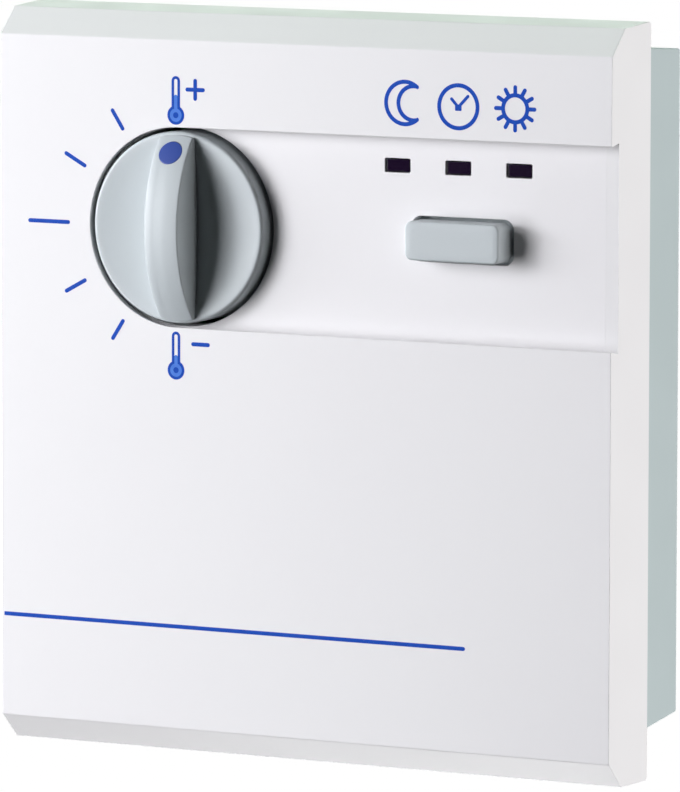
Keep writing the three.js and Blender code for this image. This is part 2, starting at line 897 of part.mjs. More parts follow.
screwPlaces.forEach(([x, z], i) => {
  const screw = slottedScrew(
    x,
    z,
    screwHeadRadius,
    screwHeadHeight,
    screwRadius,
    screwLength - screwTipGap,
    boardFront + partGap,
  );
  place(fixedGroup, `board_screw_${i + 1}`, screw, steel);
});

const knobGroup = new THREE.Group();
place(knobGroup, "setpoint_knob", setpointKnob(), knobGrey);
place(knobGroup, "pointer_dot", pointerDot(), pointerBlue);
place(knobGroup, "knob_clip", knobClip(), steel);
place(knobGroup, "potentiometer_shaft", potentiometerShaft(), brass);

const buttonGroup = new THREE.Group();
place(buttonGroup, "mode_button", modeButton(), knobGrey);

const plungerGroup = new THREE.Group();
place(plungerGroup, "switch_plunger", switchPlunger(), blackPlastic);

const coverGroup = new THREE.Group();
place(coverGroup, "front_cover", frontCover(), coverWhite);

thermostat.add(fixedGroup, knobGroup, buttonGroup, plungerGroup, coverGroup);

export default thermostat;
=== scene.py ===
"""Looks of a wall thermostat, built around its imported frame.

Sizes are in millimetres, and metres only where a mesh is made. +X is right, +Z is up and the
room is towards -Y. A depth is a distance from the wall, so a point at depth d has y = -d.
"""

import logging
import math
from collections.abc import Callable, Sequence
from dataclasses import dataclass
from enum import Enum

import bmesh
import bpy
from mathutils import Matrix, Vector


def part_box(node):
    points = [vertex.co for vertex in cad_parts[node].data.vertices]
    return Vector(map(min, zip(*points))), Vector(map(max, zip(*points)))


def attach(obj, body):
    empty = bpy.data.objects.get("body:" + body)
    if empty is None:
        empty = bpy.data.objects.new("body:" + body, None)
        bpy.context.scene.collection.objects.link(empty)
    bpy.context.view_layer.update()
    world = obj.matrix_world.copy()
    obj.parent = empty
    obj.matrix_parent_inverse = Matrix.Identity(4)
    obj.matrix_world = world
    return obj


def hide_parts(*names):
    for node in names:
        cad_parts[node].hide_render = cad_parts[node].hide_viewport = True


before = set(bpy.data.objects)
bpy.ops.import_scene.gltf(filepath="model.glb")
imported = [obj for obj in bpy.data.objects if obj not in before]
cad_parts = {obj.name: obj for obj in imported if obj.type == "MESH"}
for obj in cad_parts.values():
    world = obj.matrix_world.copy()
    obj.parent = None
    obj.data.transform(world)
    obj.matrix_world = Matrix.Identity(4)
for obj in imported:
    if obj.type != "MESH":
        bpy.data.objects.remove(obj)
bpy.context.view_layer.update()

MM = 0.001
log = logging.getLogger("thermostat")

Flat = tuple[float, float]
Thing = bpy.types.Object
Tree = bpy.types.NodeTree
Node = bpy.types.Node
Socket = bpy.types.NodeSocket

DIAL_GAP = 0.55  # between the dial and its opening


class Body(Enum):
    """The moving bodies that pieces ride on."""

    BASE = "base"
    KNOB = "knob"
    BUTTON = "button"
    PLUNGER = "plunger"
    COVER = "cover"


class Slot(Enum):
    """The record's material slots."""

    COVER_WHITE = "cover_white"
    BASE_GREY = "base_grey"
    KNOB_GREY = "knob_grey"
    POINTER_BLUE = "pointer_blue"
    SMOKED_LENS = "smoked_lens"
    BOARD_GREEN = "board_green"
    BLACK_PLASTIC = "black_plastic"
    TERMINAL_GREEN = "terminal_green"
    BRASS = "brass"
    STEEL = "steel"
    CAN_SLEEVE = "can_sleeve"
    FILM_YELLOW = "film_yellow"
    SENSOR_RESIN = "sensor_resin"
    CLEAR_RESIN = "clear_resin"
    RESISTOR_BEIGE = "resistor_beige"


class Cut(Enum):
    """How one solid works on another."""

    AWAY = "DIFFERENCE"
    JOIN = "UNION"
    KEEP = "INTERSECT"


class Axis(Enum):
    """The line that a turned shape stands on."""

    UP = "z"
    ACROSS = "x"


# ---- Where things are, read from the frame ----


@dataclass(frozen=True)
class Box:
    """A CAD node's place, in millimetres, as depths and row axes."""

    left: float
    right: float
    bottom: float
    top: float
    back: float
    front: float

    @property
    def x(self) -> float:
        """Middle across."""
        return (self.left + self.right) / 2

    @property
    def z(self) -> float:
        """Middle in height."""
        return (self.bottom + self.top) / 2

    @property
    def width(self) -> float:
        """Size across."""
        return self.right - self.left

    @property
    def height(self) -> float:
        """Size in height."""
        return self.top - self.bottom


def box_of(node: str) -> Box:
    """Reads a CAD node's box.

    Args:
        node: The node's name.

    Returns:
        Its box in millimetres.
    """
    low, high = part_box(node)
    return Box(low.x / MM, high.x / MM, low.z / MM, high.z / MM, -high.y / MM, -low.y / MM)


# ---- Outlines ----


def moved_in(corners: Sequence[Flat], inset: float) -> list[Flat]:
    """Moves each side of a convex outline inwards.

    Args:
        corners: The outline's corners, anticlockwise.
        inset: How far each side moves, outwards if negative.

    Returns:
        The new corners.
    """
    lines = []
    for (ax, ay), (bx, by) in zip(corners, [*corners[1:], corners[0]]):
        length = math.hypot(bx - ax, by - ay)
        nx, ny = -(by - ay) / length, (bx - ax) / length
        lines.append((nx, ny, nx * ax + ny * ay + inset))
    moved = []
    for (a, b, c), (d, e, f) in zip([lines[-1], *lines[:-1]], lines):
        det = a * e - b * d
        moved.append(((c * e - b * f) / det, (a * f - c * d) / det))
    return moved


def filleted(
    corners: Sequence[Flat], radius: float | Sequence[float], inset: float = 0.0, steps: int = 6
) -> list[Flat]:
    """Rounds the corners of a convex outline that may be moved in.

    Args:
        corners: The outline's corners, anticlockwise.
        radius: The fillet of every corner, or one for each.
        inset: How far each side moves in first, which makes the fillets smaller by as much.
        steps: Steps round each fillet.

    Returns:
        The points of the outline, the same number whatever the inset.
    """
    points = moved_in(corners, inset)
    radii = [radius] * len(points) if isinstance(radius, (int, float)) else list(radius)
    smallest = 0.02
    outline = []
    for i, (x, y) in enumerate(points):
        before = Vector(points[i - 1]) - Vector((x, y))
        after = Vector(points[(i + 1) % len(points)]) - Vector((x, y))
        before.normalize()
        after.normalize()
        half = before.angle(after) / 2
        r = max(radii[i] - inset, smallest)
        centre = Vector((x, y)) + (before + after).normalized() * (r / math.sin(half))
        start = Vector((x, y)) + before * (r / math.tan(half)) - centre
        sweep = math.pi - 2 * half
        for step in range(steps + 1):
            turn = sweep * step / steps
            c, s = math.cos(turn), math.sin(turn)
            outline.append((centre.x + start.x * c - start.y * s, centre.y + start.x * s + start.y * c))
    return outline


def between(left: float, right: float, low: float, high: float) -> list[Flat]:
    """The corners of a level rectangle from its sides, anticlockwise."""
    return [(left, low), (right, low), (right, high), (left, high)]


def rectangle(x: float, z: float, width: float, height: float) -> list[Flat]:
    """The corners of a level rectangle about a middle point, anticlockwise."""
    return between(x - width / 2, x + width / 2, z - height / 2, z + height / 2)


def arc(x: float, z: float, radius: float, start: float, end: float, steps: int) -> list[Flat]:
    """Points along an arc, angles in degrees anticlockwise from +X."""
    angles = [math.radians(start + (end - start) * i / steps) for i in range(steps + 1)]
    return [(x + radius * math.cos(a), z + radius * math.sin(a)) for a in angles]


def circle(x: float, z: float, radius: float, steps: int) -> list[Flat]:
    """Points round a circle, anticlockwise from +X."""
    return arc(x, z, radius, 0, 360, steps)[:-1]


def stroke(a: Flat, b: Flat, width: float, steps: int = 8) -> list[Flat]:
    """The outline of a straight stroke with round ends.

    Args:
        a: The first end's centre.
        b: The second end's centre.
        width: The stroke's width.
        steps: Steps round each end.

    Returns:
        The outline, anticlockwise.
    """
    along = math.degrees(math.atan2(b[1] - a[1], b[0] - a[0]))
    far = arc(*b, width / 2, along - 90, along + 90, steps)
    near = arc(*a, width / 2, along + 90, along + 270, steps)
    return far + near


def strip(line: Sequence[Flat], thickness: float) -> list[Flat]:
    """The outline of a bent strip about its middle line.

    Args:
        line: The middle line's points.
        thickness: The strip's thickness.

    Returns:
        The closed outline.
    """
    upper, lower = [], []
    for i, (x, y) in enumerate(line):
        ax, ay = line[max(i - 1, 0)]
        bx, by = line[min(i + 1, len(line) - 1)]
        length = math.hypot(bx - ax, by - ay)
        nx, ny = -(by - ay) / length * thickness / 2, (bx - ax) / length * thickness / 2
        upper.append((x + nx, y + ny))
        lower.append((x - nx, y - ny))
    return [*upper, *reversed(lower)]


def quarter_round(radius: float, steps: int = 5) -> list[Flat]:
    """An edge's round as pairs of (advance, inset), from the end face to the full outline."""
    angles = [math.pi / 2 * i / steps for i in range(steps + 1)]
    return [(radius * (1 - math.cos(a)), radius * (1 - math.sin(a))) for a in angles]


def rolled(radius: float, front: float, edge: float, steps: int = 5) -> list[Flat]:
    """A turned shape's rounded front edge as (radius, depth), from its side to its face."""
    return [(radius - inset, front - advance) for advance, inset in reversed(quarter_round(edge, steps))]


def across(distance: float) -> Vector:
    """A step to the right."""
    return Vector((distance, 0, 0))


# ---- Solids ----


def upright(outline: Sequence[Flat], depth: float) -> list[Vector]:
    """An outline of (x, z) points placed at a depth."""
    return [Vector((x, -depth, z)) for x, z in outline]


def sideways(outline: Sequence[Flat], x: float) -> list[Vector]:
    """An outline of (depth, z) points placed at an x."""
    return [Vector((x, -depth, z)) for depth, z in outline]


def new_object(name: str, bm: bmesh.types.BMesh) -> Thing:
    """Turns a mesh in millimetres into an object in metres, its faces outwards.

    Args:
        name: The object's name.
        bm: The mesh, which is used up.

    Returns:
        The object, at the origin, in the scene.
    """
    bmesh.ops.recalc_face_normals(bm, faces=bm.faces[:])
    mesh = bpy.data.meshes.new(name)
    bm.to_mesh(mesh)
    bm.free()
    mesh.transform(Matrix.Scale(MM, 4))
    made = bpy.data.objects.new(name, mesh)
    bpy.context.scene.collection.objects.link(made)
    return made


def lofted(name: str, rings: Sequence[Sequence[Vector]]) -> Thing:
    """A closed solid through rings of points, with a flat or pointed end at each end.

    Args:
        name: The object's name.
        rings: Rings with the same number of points, or a single point for a pole.

    Returns:
        The object.
    """
    bm = bmesh.new()
    rows = [[bm.verts.new(p) for p in ring] for ring in rings]
    for low, high in zip(rows, rows[1:]):
        count = max(len(low), len(high))
        for i in range(count):
            j = (i + 1) % count
            if len(low) == 1:
                bm.faces.new((low[0], high[j], high[i]))
            elif len(high) == 1:
                bm.faces.new((low[i], low[j], high[0]))
            else:
                bm.faces.new((low[i], low[j], high[j], high[i]))
    for row in (rows[0], rows[-1]):
        if len(row) > 1:
            bm.faces.new(row)
    return new_object(name, bm)


def turned(
    name: str, profile: Sequence[Flat], x: float, z: float, steps: int = 96
) -> Thing:
    """A shape turned about a line square to the wall.

    Args:
        name: The object's name.
        profile: Points of (radius, depth). A radius of nought is a pole.
        x: Where the line stands across.
        z: Where the line stands in height.
        steps: Steps round the line.

    Returns:
        The object.
    """
    rings = []
    for radius, depth in profile:
        if radius < 1e-6:
            rings.append([Vector((x, -depth, z))])
        else:
            rings.append(upright(circle(x, z, radius, steps), depth))
    return lofted(name, rings)


def turned_on(
    name: str, profile: Sequence[Flat], axis: Axis, centre: Flat, steps: int = 40
) -> Thing:
    """A shape turned about an upright or a level line.

    Args:
        name: The object's name.
        profile: Points of (radius, distance along the line).
        axis: The line's direction.
        centre: Where the line stands: (x, depth) if upright, (depth, z) if level.
        steps: Steps round the line.

    Returns:
        The object.
    """
    rings = []
    for radius, along in profile:
        ring = [(0.0, 0.0)] if radius < 1e-6 else circle(0, 0, radius, steps)
        if axis is Axis.UP:
            rings.append([Vector((centre[0] + a, -centre[1] + b, along)) for a, b in ring])
        else:
            rings.append([Vector((along, -centre[0] + a, centre[1] + b)) for a, b in ring])
    return lofted(name, rings)


def plate(name: str, outline: Sequence[Flat], back: float, front: float) -> Thing:
    """An outline of (x, z) points carried from one depth to another."""
    return lofted(name, [upright(outline, back), upright(outline, front)])


def soft_plate(
    name: str,
    corners: Sequence[Flat],
    radius: float,
    back: float,
    front: float,
    edge: float,
    back_edge: float = 0.0,
) -> Thing:
    """A plate whose front edge, and back edge if wanted, are rounded.

    Args:
        name: The object's name.
        corners: The outline's corners in (x, z), anticlockwise.
        radius: The fillet of its corners.
        back: The depth of its back.
        front: The depth of its front.
        edge: The round of its front edge.
        back_edge: The round of its back edge.

    Returns:
        The object.
    """
    rings = []
    if back_edge > 0:
        for advance, inset in quarter_round(back_edge):
            rings.append(upright(filleted(corners, radius, inset), back + advance))
    else:
        rings.append(upright(filleted(corners, radius), back))
    for advance, inset in reversed(quarter_round(edge)):
        rings.append(upright(filleted(corners, radius, inset), front - advance))
    return lofted(name, rings)


def bent_wire(name: str, points: Sequence[Vector], radius: float, steps: int = 12) -> Thing:
    """A round wire along a path, its bends rounded.

    Args:
        name: The object's name.
        points: The path's corners.
        radius: The wire's radius.
        steps: Steps round the wire.

    Returns:
        The object.
    """
    path = [points[0]]
    for before, corner, after in zip(points, points[1:], points[2:]):
        reach = min((corner - before).length, (after - corner).length, 6 * radius) / 2
        start = corner + (before - corner).normalized() * reach
        end = corner + (after - corner).normalized() * reach
        for i in range(5):
            t = i / 4
            path.append(start * (1 - t) ** 2 + corner * 2 * t * (1 - t) + end * t * t)
    path.append(points[-1])
    side = (path[1] - path[0]).orthogonal().normalized()
    rings = []
    for i, point in enumerate(path):
        along = (path[min(i + 1, len(path) - 1)] - path[max(i - 1, 0)]).normalized()
        side = (side - along * side.dot(along)).normalized()
        other = along.cross(side)
        rings.append([point + (side * a + other * b) for a, b in circle(0, 0, radius, steps)])
    return lofted(name, rings)


def remove(thing: Thing) -> None:
    """Takes an object and its mesh out of the file.

    Args:
        thing: The object.
    """
    mesh = thing.data
    bpy.data.objects.remove(thing)
    bpy.data.meshes.remove(mesh)


def settled(thing: Thing) -> Thing:
    """Replaces an object's mesh by what its modifiers make of it, and drops the modifiers.

    Args:
        thing: The object.

    Returns:
        The same object.
    """
    bpy.context.view_layer.update()
    evaluated = thing.evaluated_get(bpy.context.evaluated_depsgraph_get())
    mesh = bpy.data.meshes.new_from_object(evaluated)
    thing.modifiers.clear()
    old = thing.data
    thing.data = mesh
    mesh.name = thing.name
    bpy.data.meshes.remove(old)
    return thing


def worked(whole: Thing, how: Cut, *tools: Thing) -> Thing:
    """Cuts or joins a solid with others, which are used up.

    Args:
        whole: The solid that stays.
        how: What the tools do to it.
        tools: The other solids.

    Returns:
        The same object with its new mesh.
    """
    for tool in tools:
        modifier = whole.modifiers.new("work", "BOOLEAN")
        modifier.operation = how.value
        modifier.solver = "EXACT"
        modifier.object = tool
    settled(whole)
    for tool in tools:
        remove(tool)
    return whole


def smoothed(thing: Thing, angle: float = 32.0) -> Thing:
    """Shades a piece smooth, crisp where its faces meet at more than an angle in degrees.

    Args:
        thing: The piece.
        angle: The angle, in degrees.

    Returns:
        The same object.
    """
    mesh = thing.data
    mesh.shade_smooth()
    mesh.set_sharp_from_angle(angle=math.radians(angle))
    weighted = thing.modifiers.new("weighted", "WEIGHTED_NORMAL")
    weighted.keep_sharp = True
    weighted.weight = 80
    return settled(thing)


def closed_loop(name: str, sections: Sequence[Sequence[Vector]]) -> Thing:
    """A solid round a hole, through closed sections, the last joined to the first.

    Args:
        name: The object's name.
        sections: Sections with the same number of points.

    Returns:
        The object.
    """
    bm = bmesh.new()
    rows = [[bm.verts.new(p) for p in section] for section in sections]
    for low, high in zip(rows, [*rows[1:], rows[0]]):
        for i in range(len(low)):
            j = (i + 1) % len(low)
            bm.faces.new((low[i], low[j], high[j], high[i]))
    return new_object(name, bm)


def lofted_ring(name: str, profile: Sequence[Flat], steps: int) -> Thing:
    """A ring about the line along +X.

    Args:
        name: The object's name.
        profile: Its section as (radius, distance along the line).
        steps: Steps round the line.

    Returns:
        The ring, shaded.
    """
    sections = []
    for step in range(steps):
        turn = 2 * math.pi * step / steps
        c, s = math.cos(turn), math.sin(turn)
        sections.append([Vector((along, radius * c, radius * s)) for radius, along in profile])
    return smoothed(closed_loop(name, sections))


def tube_turned(name: str, section: Sequence[Flat], x: float, z: float, steps: int = 64) -> Thing:
    """A hollow shape turned about a line square to the wall.

    Args:
        name: The object's name.
        section: Its closed section as (radius, depth).
        x: Where the line stands across.
        z: Where the line stands in height.
        steps: Steps round the line.

    Returns:
        The object.
    """
    sections = []
    for step in range(steps):
        turn = 2 * math.pi * step / steps
        c, s = math.cos(turn), math.sin(turn)
        sections.append([Vector((x + radius * c, -depth, z + radius * s)) for radius, depth in section])
    return closed_loop(name, sections)


def slotted_screw(
    head_radius: float,
    head_height: float,
    shank_radius: float,
    shank_length: float,
    slot_width: float,
    slot_depth: float,
) -> Thing:
    """A slotted cheese-head screw with the middle of its head's top at the origin.

    Args:
        head_radius: The head's radius.
        head_height: The head's height.
        shank_radius: The thread's outer radius, or nought for none.
        shank_length: The thread's length.
        slot_width: The slot's width.
        slot_depth: The slot's depth.

    Returns:
        The screw, shaded.
    """
    dome, edge, root = 0.12, 0.18, 0.25
    profile = []
    if shank_radius > 0:
        end, pitch = -head_height - shank_length, 1.0
        profile += [(0.0, end), (shank_radius - 2 * root, end + 0.8)]
        turns = int((shank_length - 1.4) / pitch)
        for i in range(turns):
            at = end + 0.9 + i * pitch
            profile += [(shank_radius - root, at), (shank_radius, at + 0.35), (shank_radius, at + 0.5)]
        profile.append((shank_radius - root, -head_height))
    else:
        profile.append((0.0, -head_height))
    profile.append((head_radius, -head_height))
    profile += rolled(head_radius, -dome, edge)
    profile += [(head_radius * 0.5, -dome * 0.25), (0.0, 0.0)]
    screw = turned("screw", profile, 0, 0, 40)
    slot = plate("slot", rectangle(0, 0, slot_width, 4 * head_radius), -slot_depth, 1.0)
    turn = Matrix.Rotation(math.radians(38), 4, "Y")
    slot.data.transform(turn)
    return smoothed(worked(screw, Cut.AWAY, slot))


# ---- Node trees ----


def add_node(
    tree: Tree,
    kind: str,
    settings: dict[str | int, object] | None = None,
    links: dict[str | int, Socket] | None = None,
) -> Node:
    """Adds a node, sets it up and links it.

    Args:
        tree: The tree it goes in.
        kind: The node's Blender type.
        settings: Its own properties and its inputs' values, by name or by the input's number.
        links: What its inputs are linked from, by name or by the input's number.

    Returns:
        The node.
    """
    node = tree.nodes.new(kind)
    for key, value in (settings or {}).items():
        if isinstance(key, str) and key.islower() and hasattr(node, key):
            setattr(node, key, value)
        else:
            node.inputs[key].default_value = value
    for key, socket in (links or {}).items():
        tree.links.new(socket, node.inputs[key])
    return node


def reckoned(tree: Tree, kind: str, operation: str, terms: dict[str | int, Socket | float]) -> Socket:
    """Adds a math node.

    Args:
        tree: The tree it goes in.
        kind: Math or VectorMath.
        operation: What it does.
        terms: What its inputs are linked from, or their values as floats.

    Returns:
        Its result.
    """
    values = {key: term for key, term in terms.items() if isinstance(term, float)}
    links = {key: term for key, term in terms.items() if key not in values}
    return add_node(tree, f"ShaderNode{kind}", {"operation": operation, **values}, links).outputs[0]


def noise(tree: Tree, coords: Socket, size_mm: float, **inputs: float) -> Socket:
    """Adds a noise texture and returns its value."""
    settings = {"Scale": 1 / (size_mm * MM), **inputs}
    return add_node(tree, "ShaderNodeTexNoise", settings, {"Vector": coords}).outputs[0]


Inputs = dict[str, Vector | float]
Ends = tuple[dict[str, str], Inputs]


class Pattern:
    """Copies of one small mesh, set out by a Geometry Nodes tree with named inputs."""

    def __init__(self, name: str, unit: Thing, finish: "Finish") -> None:
        """Starts a pattern.

        Args:
            name: The name of the piece that it makes.
            unit: The mesh that is repeated, about the origin, which is used up.
            finish: The finish of the piece.
        """
        self.name = name
        self.unit = unit
        self.finish = finish

    def along(self, count: int, start: Vector, step: Vector) -> Thing:
        """Sets the copies out in a row.

        Args:
            count: How many copies.
            start: The first copy's place, in millimetres.
            step: From one copy to the next, in millimetres.

        Returns:
            The finished piece as a plain mesh.
        """
        tree, group_in, ends = self._tree("row", {"Start": start * MM, "Step": step * MM})
        index = add_node(tree, "GeometryNodeInputIndex").outputs[0]
        run = reckoned(tree, "VectorMath", "SCALE", {0: group_in.outputs["Step"], "Scale": index})
        place = reckoned(tree, "VectorMath", "ADD", {0: group_in.outputs["Start"], 1: run})
        return self._finished(tree, group_in, ends, count, place, None)

    def round(self, count: int, centre: Vector, radius: float, first: float, step: float) -> Thing:
        """Sets the copies out round a centre, each turned to point outwards.

        Args:
            count: How many copies.
            centre: The circle's centre, in millimetres.
            radius: The circle's radius, in millimetres.
            first: The first copy's angle, in degrees anticlockwise from +X.
            step: The angle from one copy to the next, in degrees.

        Returns:
            The finished piece as a plain mesh.
        """
        values = {
            "Centre": centre * MM,
            "Radius": radius * MM,
            "First Angle": math.radians(first),
            "Step Angle": math.radians(step),
        }
        tree, group_in, ends = self._tree("round", values)
        read = group_in.outputs
        index = add_node(tree, "GeometryNodeInputIndex").outputs[0]
        turns = {0: index, 1: read["Step Angle"], 2: read["First Angle"]}
        angle = reckoned(tree, "Math", "MULTIPLY_ADD", turns)
        cosine = reckoned(tree, "Math", "COSINE", {0: angle})
        sine = reckoned(tree, "Math", "SINE", {0: angle})
        outwards = add_node(tree, "ShaderNodeCombineXYZ", {}, {"X": cosine, "Z": sine}).outputs[0]
        reach = {0: outwards, 1: read["Radius"], 2: read["Centre"]}
        place = reckoned(tree, "VectorMath", "MULTIPLY_ADD", reach)
        back = reckoned(tree, "Math", "MULTIPLY", {0: angle, 1: -1.0})
        turn = add_node(tree, "ShaderNodeCombineXYZ", {}, {"Y": back}).outputs[0]
        return self._finished(tree, group_in, ends, count, place, turn)

    def _tree(self, kind: str, values: Inputs) -> tuple[Tree, Node, Ends]:
        """Makes the tree and its named inputs.

        Args:
            kind: How the copies are set out, for the tree's name.
            values: The named inputs that set them out, and their values.

        Returns:
            The tree, its input node, and its inputs' identifiers with their values.
        """
        tree = bpy.data.node_groups.new(f"{self.name}_{kind}", "GeometryNodeTree")
        face = tree.interface
        face.new_socket("Geometry", in_out="INPUT", socket_type="NodeSocketGeometry")
        identifiers = {}
        kinds = {"Unit": "NodeSocketObject", "Count": "NodeSocketInt", "Finish": "NodeSocketMaterial"}
        for name, value in values.items():
            kinds[name] = "NodeSocketVector" if isinstance(value, Vector) else "NodeSocketFloat"
        for name, socket_type in kinds.items():
            socket = face.new_socket(name, in_out="INPUT", socket_type=socket_type)
            identifiers[name] = socket.identifier
        face.new_socket("Geometry", in_out="OUTPUT", socket_type="NodeSocketGeometry")
        return tree, add_node(tree, "NodeGroupInput"), (identifiers, values)

    def _finished(
        self, tree: Tree, group_in: Node, ends: Ends, count: int, place: Socket, turn: Socket | None
    ) -> Thing:
        """Ends the tree, runs it and keeps the result as a plain mesh.

        Args:
            tree: The tree.
            group_in: Its input node.
            ends: Its inputs' identifiers with their values.
            count: How many copies.
            place: Where each copy goes.
            turn: How each copy is turned, or None for not at all.

        Returns:
            The piece.
        """
        identifiers, values = ends
        spots = {"Count": group_in.outputs["Count"], "Position": place}
        points = add_node(tree, "GeometryNodePoints", {}, spots)
        unit = add_node(tree, "GeometryNodeObjectInfo", {}, {"Object": group_in.outputs["Unit"]})
        both = {"Points": points.outputs[0], "Instance": unit.outputs["Geometry"]}
        copies = add_node(tree, "GeometryNodeInstanceOnPoints", {}, both)
        if turn is not None:
            tree.links.new(turn, copies.inputs["Rotation"])
        real = add_node(tree, "GeometryNodeRealizeInstances", {}, {0: copies.outputs[0]})
        coat = {"Geometry": real.outputs[0], "Material": group_in.outputs["Finish"]}
        coated = add_node(tree, "GeometryNodeSetMaterial", {}, coat)
        add_node(tree, "NodeGroupOutput", {}, {0: coated.outputs[0]})
        made = bpy.data.objects.new(self.name, bpy.data.meshes.new(self.name))
        bpy.context.scene.collection.objects.link(made)
        modifier = made.modifiers.new("pattern", "NODES")
        modifier.node_group = tree
        modifier[identifiers["Unit"]] = self.unit
        modifier[identifiers["Count"]] = count
        modifier[identifiers["Finish"]] = self.finish.material()
        for name, value in values.items():
            modifier[identifiers[name]] = tuple(value) if isinstance(value, Vector) else value
        settled(made)
        bpy.data.node_groups.remove(tree)
        remove(self.unit)
        return made


# ---- Finishes ----


def linear(hex_colour: str) -> tuple[float, float, float, float]:
    """Turns an sRGB hex colour into the linear colour that shaders use.

    Args:
        hex_colour: The colour, as #rrggbb.

    Returns:
        Its red, green, blue and alpha.
    """
    channels = []
    for i in (0, 2, 4):
        value = int(hex_colour.lstrip("#")[i : i + 2], 16) / 255
        channels.append(value / 12.92 if value <= 0.04045 else ((value + 0.055) / 1.055) ** 2.4)
    return (*channels, 1.0)


@dataclass(frozen=True)
class Finish:
    """A moulded plastic: one pigment, a fine sparked texture from the mould, and faint flow shading.

    The eye sees an even colour with a soft, slightly broken gloss.
    """

    name: str
    colour: str
    flow_colour: str  # where the melt flowed darker or warmer
    slot: Slot
    roughness: float = 0.42
    roughness_spread: float = 0.08
    ior: float = 1.53
    metallic: float = 0.0
    texture_mm: float = 0.35  # mould spark texture, drawn coarser than the real 0.05 mm so it shows
    texture_height_mm: float = 0.004
    flow_mm: float = 40.0
    coat: float = 0.0

    def material(self) -> bpy.types.Material:
        """The material, made once.

        Returns:
            The material.
        """
        made = bpy.data.materials.get(self.name)
        if made is None:
            made = bpy.data.materials.new(self.name)
            made.use_nodes = True
            made.node_tree.nodes.clear()
            self.fill(made.node_tree)
        return made

    def fill(self, tree: Tree) -> None:
        """Builds the nodes.

        Args:
            tree: The material's empty tree.
        """
        coords = add_node(tree, "ShaderNodeTexCoord").outputs["Object"]
        self.end(tree, self.pigment(tree, coords), self.gloss(tree, coords), self.relief(tree, coords))

    def tinted(self, tree: Tree, share: Socket) -> Socket:
        """A mix of the two colours by a share."""
        settings = {"data_type": "RGBA", 6: linear(self.colour), 7: linear(self.flow_colour)}
        return add_node(tree, "ShaderNodeMix", settings, {0: share}).outputs[2]

    def raised(self, tree: Tree, height: Socket) -> Socket:
        """A height as bump."""
        settings = {"Strength": 1.0, "Distance": self.texture_height_mm * MM}
        return add_node(tree, "ShaderNodeBump", settings, {"Height": height}).outputs[0]

    def pigment(self, tree: Tree, coords: Socket) -> Socket:
        """The colour, which drifts slowly with the flow of the melt."""
        return self.tinted(tree, noise(tree, coords, self.flow_mm, Detail=2.0, Roughness=0.4))

    def gloss(self, tree: Tree, coords: Socket) -> Socket:
        """The roughness, a little uneven from handling and from the mould.

        Args:
            tree: The material's tree.
            coords: Where the texture is read.

        Returns:
            The roughness.
        """
        cloud = noise(tree, coords, self.flow_mm * 0.2, Detail=3.0)
        half = self.roughness_spread / 2
        span = {"From Min": 0.3, "From Max": 0.7}
        span |= {"To Min": self.roughness - half, "To Max": self.roughness + half}
        return add_node(tree, "ShaderNodeMapRange", span, {"Value": cloud}).outputs[0]

    def relief(self, tree: Tree, coords: Socket) -> Socket:
        """The mould's spark texture as bump."""
        return self.raised(tree, noise(tree, coords, self.texture_mm, Detail=2.0, Roughness=0.6))

    def end(self, tree: Tree, colour: Socket, roughness: Socket, normal: Socket) -> Node:
        """Ends the tree in its shader.

        Args:
            tree: The material's tree.
            colour: The colour.
            roughness: The roughness.
            normal: The bumped normal.

        Returns:
            The shader.
        """
        settings = {"Metallic": self.metallic, "Coat Weight": self.coat, "Coat Roughness": 0.12}
        if self.metallic == 0:
            settings["IOR"] = self.ior
        links = {"Base Color": colour, "Roughness": roughness, "Normal": normal}
        shader = add_node(tree, "ShaderNodeBsdfPrincipled", settings, links)
        add_node(tree, "ShaderNodeOutputMaterial", {}, {"Surface": shader.outputs[0]})
        return shader


@dataclass(frozen=True)
class Ink(Finish):
    """Pad-printed ink: a thin, even film with a slightly ragged density."""

    def pigment(self, tree: Tree, coords: Socket) -> Socket:
        """The colour, thinner in small clouds where the pad lifted.

        Args:
            tree: The material's tree.
            coords: Where the texture is read.

        Returns:
            The colour.
        """
        cloud = noise(tree, coords, self.texture_mm, Detail=3.0)
        span = {"From Min": 0.35, "From Max": 0.75}
        return self.tinted(tree, add_node(tree, "ShaderNodeMapRange", span, {"Value": cloud}).outputs[0])


@dataclass(frozen=True)
class Metal(Finish):
    """Turned or plated metal: fine tool marks that spread the highlight."""

    roughness: float = 0.3
    metallic: float = 1.0
    texture_mm: float = 0.2
    texture_height_mm: float = 0.003
    flow_mm: float = 3.0


